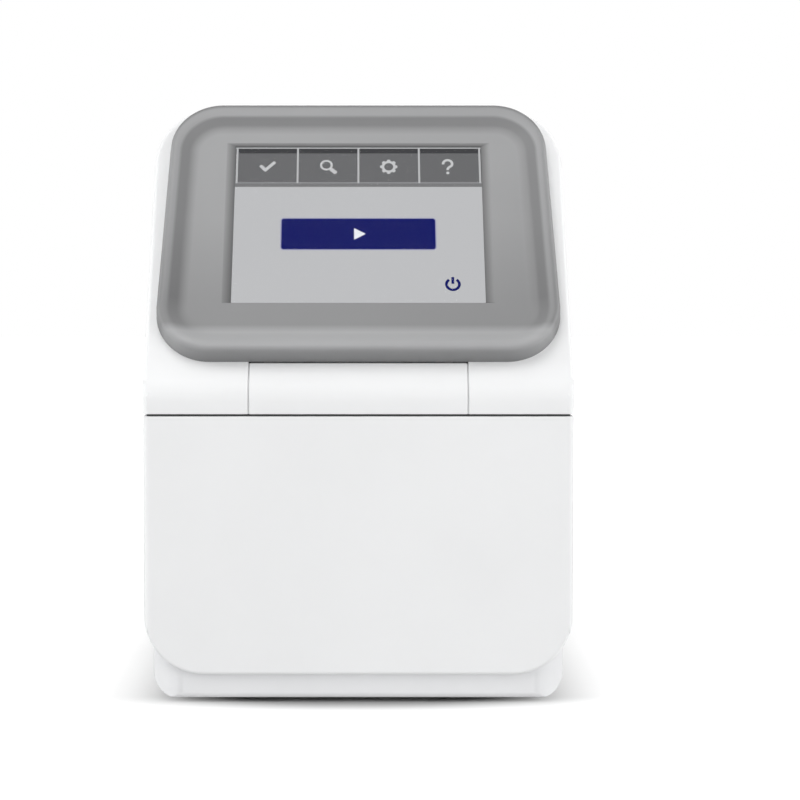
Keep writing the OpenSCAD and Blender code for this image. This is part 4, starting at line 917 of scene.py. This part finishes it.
for node, row in screws.items():
    buildScrews(node, *row)
print("screws done")

# Rear ports

rocker = {"tilt": 7, "axisY": 110, "faceY": 1.8, "rise": 0.8, "half": 8.4, "round": 0.3, "edgeY": 109.5,
          "mark": (-0.1, 0.12), "on": (0.35, 3.6, 6.6), "off": (5.1, 1.6, 1.0)}
pins = {"half": 1, "places": [(-7, -4.5, -0.5, 112.0), (7, -4.5, -0.5, 112.0), (0, 1, 5, 113.0)],
        "taper": [(0, 1.6), (0.28, 0.5), (0.55, 0)]}    # (inset, length before the tip)
usb = {"tongues": (4.0, 12.0), "half": 5.5, "tongue": (-0.12, 1.9), "y": (99.6, 112.0), "contacts": 4,
       "first": -3.9, "pitch": 2.2, "wide": 1.1, "contact": (-0.22, -0.1), "contactY": (102, 111.4)}
lan = {"half": 6, "z": (2.2, 10.2), "wall": 0.3, "y": (99.5, 112.6), "backY": 100.0, "contacts": 8,
       "first": -3.57, "pitch": 1.02, "halfWire": 0.17,
       "wire": [(110.6, 2.5), (110.9, 2.75), (103.2, 6.1), (103.0, 5.8)]}
plate = {"border": (1.2, 1.5), "corner": (1.2, 0.9), "fields": (0.3, 0.52, 0.74), "side": 3,
         "half": 0.12, "level": (-0.02, 0.05), "round": 0.12}


def buildPins():    # three blades with tapered tips
    x, z = middle(*span("power_inlet"))[::2]
    bm = bmesh.new()
    place, back, half = along("y", x, 0, z), span("inlet_pins")[0].y, pins["half"]
    for cx, z0, z1, tip in pins["places"]:
        blade = lambda i, y: [place(a, b, y) for a, b in rect(cx - half + i, cx + half - i, z0 + i, z1 - i)]
        sweep(bm, [blade(0, back)] + [blade(i, tip - rest) for i, rest in pins["taper"]], False, True)
    standIn("inlet_pins", bm)


def rockerFace(sign):    # upper or lower half of the rocker's face
    x, z = middle(*span("switch_rocker"))[0], middle(*span("switch_frame"))[2]
    size = math.hypot(rocker["rise"], rocker["half"])
    along0, along1 = rocker["rise"] / size, sign * rocker["half"] / size
    c, s = math.cos(math.radians(rocker["tilt"])), math.sin(math.radians(rocker["tilt"]))

    def place(a, b, h):
        y = rocker["faceY"] + b * along0 + h * abs(along1)
        w = b * along1 - h * along0 * sign
        return Vector((x + a, rocker["axisY"] + y * c - w * s, z + y * s + w * c)) * mm
    return place


def buildRocker():
    softened("switch_rocker", [(rocker["round"], 2, behind(rocker["edgeY"]))])
    bm = bmesh.new()
    half, low, high = rocker["on"]
    prism(bm, rect(-half, half, low, high), rockerFace(1), *rocker["mark"])
    middle, outer, inner = rocker["off"]
    collar(bm, circle(0, middle, outer, 32), circle(0, middle, inner, 32), rockerFace(-1), *rocker["mark"])
    addPiece("rockerMarks", bm, "rocker", "label", "mark")


def buildSockets():
    x, z = middle(*span("usb_socket"))[0], span("usb_socket")[0].z
    bm, gold = bmesh.new(), bmesh.new()
    place, half = along("y", x, 0, z), usb["half"]
    for z0 in usb["tongues"]:
        low, high = (z0 + level for level in usb["tongue"])
        prism(bm, rect(-half, half, low, high), place, *usb["y"])
        low, high = (z0 + level for level in usb["contact"])
        for k in range(usb["contacts"]):
            left = usb["first"] + k * usb["pitch"]
            prism(gold, rect(left, left + usb["wide"], low, high), place, *usb["contactY"])
    x, z = middle(*span("lan_socket"))[0], span("lan_socket")[0].z
    place, wire, half, wall = along("y", x, 0, z), along("x", x, 0, z), lan["half"], lan["wall"]
    low, high = lan["z"]
    inner = rect(-half + wall, half - wall, low + wall, high - wall)
    collar(bm, rect(-half, half, low, high), inner, place, *lan["y"])
    prism(bm, inner, place, lan["y"][0], lan["backY"])
    for k in range(lan["contacts"]):
        cx = lan["first"] + k * lan["pitch"]
        prism(gold, lan["wire"], wire, cx - lan["halfWire"], cx + lan["halfWire"])
    addPiece("socketInserts", bm, "housing", "black_plastic", "black")
    addPiece("socketContacts", gold, "housing", "copper", "gold")


def buildPlateLines():    # border and blank fields on the rating plate
    low, high = span("rating_plate")
    x0, x1, z0, z1 = low.x, high.x, low.z, high.z
    place = along("y", 0, high.y, 0)
    bm = bmesh.new()
    insets = zip(plate["border"], plate["corner"])
    outer, inner = (roundRect(x0 + i, x1 - i, z0 + i, z1 - i, r) for i, r in insets)
    collar(bm, outer, inner, place, *plate["level"])
    side, half = plate["side"], plate["half"]
    for share in plate["fields"]:
        z = z0 + (z1 - z0) * share
        prism(bm, rect(x0 + side, x1 - side, z - half, z + half), place, *plate["level"])
    addPiece("ratingPlateLines", bm, "housing", "black_rubber", "seal")
    softened("rating_plate", [(plate["round"], 1, None)])


softened("power_inlet", [(0.5, 3, behind(114))])
softened("switch_frame", [(0.4, 3, behind(114))])
buildPins()
buildRocker()
buildSockets()
buildPlateLines()
for node in ("usb_socket", "lan_socket"):
    softened(node, [(0.2, 2, behind(112.5))])
print("ports done")

# Fan

fan = {"blades": 7, "hub": 13, "bore": 1.6, "tip": 27.4, "axial": 4.05, "turnHub": 3.7, "turnTip": 5.2,
       "camber": 0.9, "thick": 1.1, "duct": 28.5, "rings": 7, "points": 8, "least": 0.25,
       "lean": (0.72, 0.69)}
fanLow, fanHigh = span("fan_rotor")
fanAxisZ = middle(*span("fan_frame"))[2]


def frameEdge(mid):    # edges of the frame outside its duct
    return abs(mid.x) > fan["duct"] * mm or abs(mid.z - fanAxisZ * mm) > fan["duct"] * mm


def buildFan():
    f = fan
    place = along("y", 0, middle(fanLow, fanHigh)[1], fanAxisZ)
    half = (fanHigh.y - fanLow.y) / 2
    bm = bmesh.new()
    bore, hub = f["bore"], f["hub"]
    leanAcross, leanDeep = f["lean"]
    lathe(bm, [(bore, -half), (hub - 0.5, -half), (hub, -half + 0.5), (hub, half - 1.2),
               (hub - 0.35, half - 0.4), (hub - 1.2, half), (6.2, half), (5.8, half - 0.3),
               (bore, half - 0.3)], place, 64, closed=True)
    for blade in range(f["blades"]):
        turn = 2 * math.pi * blade / f["blades"]
        rings = []
        for s in range(f["rings"] + 1):
            share = s / f["rings"]
            r = hub - 1 + (f["tip"] - hub + 1) * share
            width = f["turnHub"] + (f["turnTip"] - f["turnHub"]) * share
            ring = []
            for side in (1, -1):
                for c in range(f["points"] + 1):
                    u = (-1 + 2 * c / f["points"]) * side
                    thick = f["thick"] / 2 * max(1 - u ** 4, f["least"]) * side
                    across = u * width + f["camber"] * (1 - u * u) - thick * leanAcross
                    depth = u * f["axial"] + thick * leanDeep
                    a = turn + across / r
                    ring.append(place(r * math.cos(a), r * math.sin(a), depth))
            rings.append(ring)
        sweep(bm, rings, closed=False, capped=True)
    standIn("fan_rotor", bm, 40)


softened("fan_frame", [(0.4, 2, frameEdge)])
buildFan()
print("fan done")

# Parts on the boards

boardLow, boardHigh = span("main_board")
# cases as x, x, y, y from the board's corner and a height; a little larger than the blocks under them
boards = {
    "thick": 1.6, "chip": (7.9, 22.1, 19.9, 34.1, 1.95), "port": (5.9, 11.1, 3.9, 14.1, 6.15), "ports": 4,
    "portPitch": 9, "caps": 3, "capIn": 10, "capY": 30, "capPitch": 14,
    "cap": [(4.15, 0), (4.15, 0.8), (3.9, 1.2), (4.15, 1.6), (4.15, 10.2), (3.9, 10.6)],
    "displayBack": 8.6, "over": (0.1, 0.15),
    "display": [(-16, 16, 30, 56, 2.4), (-30, -20, 34, 52, 1.6), (22, 34, 62, 68, 5)],
}


def buildBoardParts():    # cases over the chips, sockets and capacitors
    c = boards
    x0, y0, z1 = boardLow.x, boardLow.y, boardLow.z + c["thick"]
    bm = bmesh.new()
    place = along("z", x0, y0, z1)

    def case(a0, a1, b0, b1, high, shift=0):
        ring = lambda i, h: [place(a + shift, b, h)
                             for a, b in roundRect(a0 + i, a1 - i, b0 + i, b1 - i, 0.5 - i, 2)]
        sweep(bm, [ring(0, 0), ring(0, high - 0.2), ring(0.2, high)], False, True)

    case(*c["chip"])
    for k in range(c["ports"]):
        case(*c["port"], k * c["portPitch"])
    for k in range(c["caps"]):
        lathe(bm, c["cap"], along("z", boardHigh.x - c["capIn"], y0 + c["capY"] + k * c["capPitch"], z1), 32)
    addPiece("mainBoardParts", bm, "housing", "black_plastic", "black")
    bm = bmesh.new()
    back = lambda a, b, h: onSlope(a, b, -c["displayBack"] - c["thick"] - h)
    over, deeper = c["over"]
    for a0, a1, b0, b1, high in c["display"]:
        prism(bm, roundRect(a0 - over, a1 + over, b0 - over, b1 + over, 0.4, 2), back, 0, high + deeper)
    addPiece("displayBoardParts", bm, "housing", "black_plastic", "black")


buildBoardParts()
print("boards done")

# Stage

# near, reach, halfX, squeeze and halfY shape the painted shadow round the foot
stageLight = {"ambient": 0.20, "floorSeen": 0.35, "floorHidden": 0.75, "floorGlow": 0.70, "farGlow": 0.35,
              "halfX": 0.006, "squeeze": 0.3, "halfY": 0.097, "near": 0.0143, "reach": 0.0217,
              "far": (0.25, 0.9), "floor": 4.0, "floorThick": 0.02}    # lengths in metres


def seenRay(tree):    # 1 where the camera, a reflection or a view through glass looks
    path = tree.nodes.new("ShaderNodeLightPath").outputs
    mirror = mathNode(tree, "MAXIMUM", path["Is Camera Ray"], path["Is Glossy Ray"])
    return mathNode(tree, "MAXIMUM", mirror, path["Is Transmission Ray"])


def buildStage():
    s = stageLight
    bm = bmesh.new()
    wide = s["floor"]
    prism(bm, rect(-wide, wide, -wide, wide), lambda a, b, h: Vector((a, b, h)), -s["floorThick"], 0)
    material, tree, shader = newMaterial("floorWhite")
    floor = meshObject("studioFloor", bm, material)
    seen = seenRay(tree)
    tone = spread(tree, seen, s["floorHidden"], s["floorSeen"], 0, 1)
    tree.links.new(multiplied(tree, (1.0, 1.0, 1.0), tone), shader.inputs["Base Color"])
    given(shader, {"Roughness": 0.9, "Specular IOR Level": 0, "Emission Color": (1, 1, 1, 1)})
    x, y = placeAxes(tree)[:2]
    # painted shadow round the foot: the distance outside it, squeezed towards the sides, sets how much glow
    # the floor gets
    beyond = lambda length, half: mathNode(tree, "MAXIMUM", mathNode(
        tree, "SUBTRACT", mathNode(tree, "ABSOLUTE", length), half), 0.0)
    away = diagonal(tree, mathNode(tree, "MULTIPLY", beyond(x, s["halfX"]), s["squeeze"]),
                    beyond(y, s["halfY"]))
    paintedShadowFade = given(tree.nodes.new("ShaderNodeMapRange"),    # painted shadow: the glow starts a little outside the foot, so the floor's real shadow shows there and fades out
                  {"From Min": s["near"], "From Max": s["near"] + s["reach"], "To Max": s["floorGlow"]})
    paintedShadowFade.interpolation_type = "SMOOTHSTEP"
    tree.links.new(away, paintedShadowFade.inputs["Value"])
    farther = spread(tree, away, 0, s["farGlow"], *s["far"])
    glow = mathNode(tree, "ADD", paintedShadowFade.outputs["Result"], farther)
    tree.links.new(mathNode(tree, "MULTIPLY", glow, seen), shader.inputs["Emission Strength"])

    world = bpy.data.worlds.new("studioWorld")
    bpy.context.scene.world = world
    world.use_nodes = True
    tree = world.node_tree
    soft = given(tree.nodes["Background"], {"Strength": s["ambient"], "Color": (1, 1, 1, 1)})
    white = given(tree.nodes.new("ShaderNodeBackground"), {"Strength": 1, "Color": (1, 1, 1, 1)})
    mix = tree.nodes.new("ShaderNodeMixShader")
    tree.links.new(seenRay(tree), mix.inputs[0])
    tree.links.new(soft.outputs[0], mix.inputs[1])
    tree.links.new(white.outputs[0], mix.inputs[2])
    tree.links.new(mix.outputs[0], tree.nodes["World Output"].inputs["Surface"])


# Lamps: direction from the object, distance, size and the share of full light that each gives

lamps = {
    "keyLamp": ((-0.21, -0.54, 0.82), 1.9, 1.2, 0.37),
    "fillLamp": ((0.55, -0.75, 0.37), 2.0, 1.2, 0.22),
    "frontLamp": ((-0.10, -0.97, 0.20), 2.2, 1.4, 0.12),
    "leftLamp": ((-0.95, -0.12, 0.30), 1.8, 1.2, 0.50),
    "rightLamp": ((0.95, -0.05, 0.30), 1.8, 1.2, 0.42),
    "topLamp": ((0.0, -0.10, 1.0), 1.9, 1.2, 0.10),
    "rearLamp": ((0.20, 0.92, 0.40), 1.8, 1.2, 0.45),
}
lampTarget = Vector((0, -0.03, 0.15))


def buildLamps():
    for name, (direction, distance, size, share) in lamps.items():
        data = bpy.data.lights.new(name, "AREA")
        data.shape = "DISK"
        data.size = size
        data.energy = share * (math.pi * distance) ** 2
        lamp = bpy.data.objects.new(name, data)
        lamp.location = lampTarget + Vector(direction).normalized() * distance
        lamp.rotation_mode = "QUATERNION"
        lamp.rotation_quaternion = (lampTarget - lamp.location).to_track_quat("-Z", "Y")
        link(lamp)


buildStage()
buildLamps()
bpy.context.scene.view_settings.view_transform = "Standard"
print("stage and lamps done")
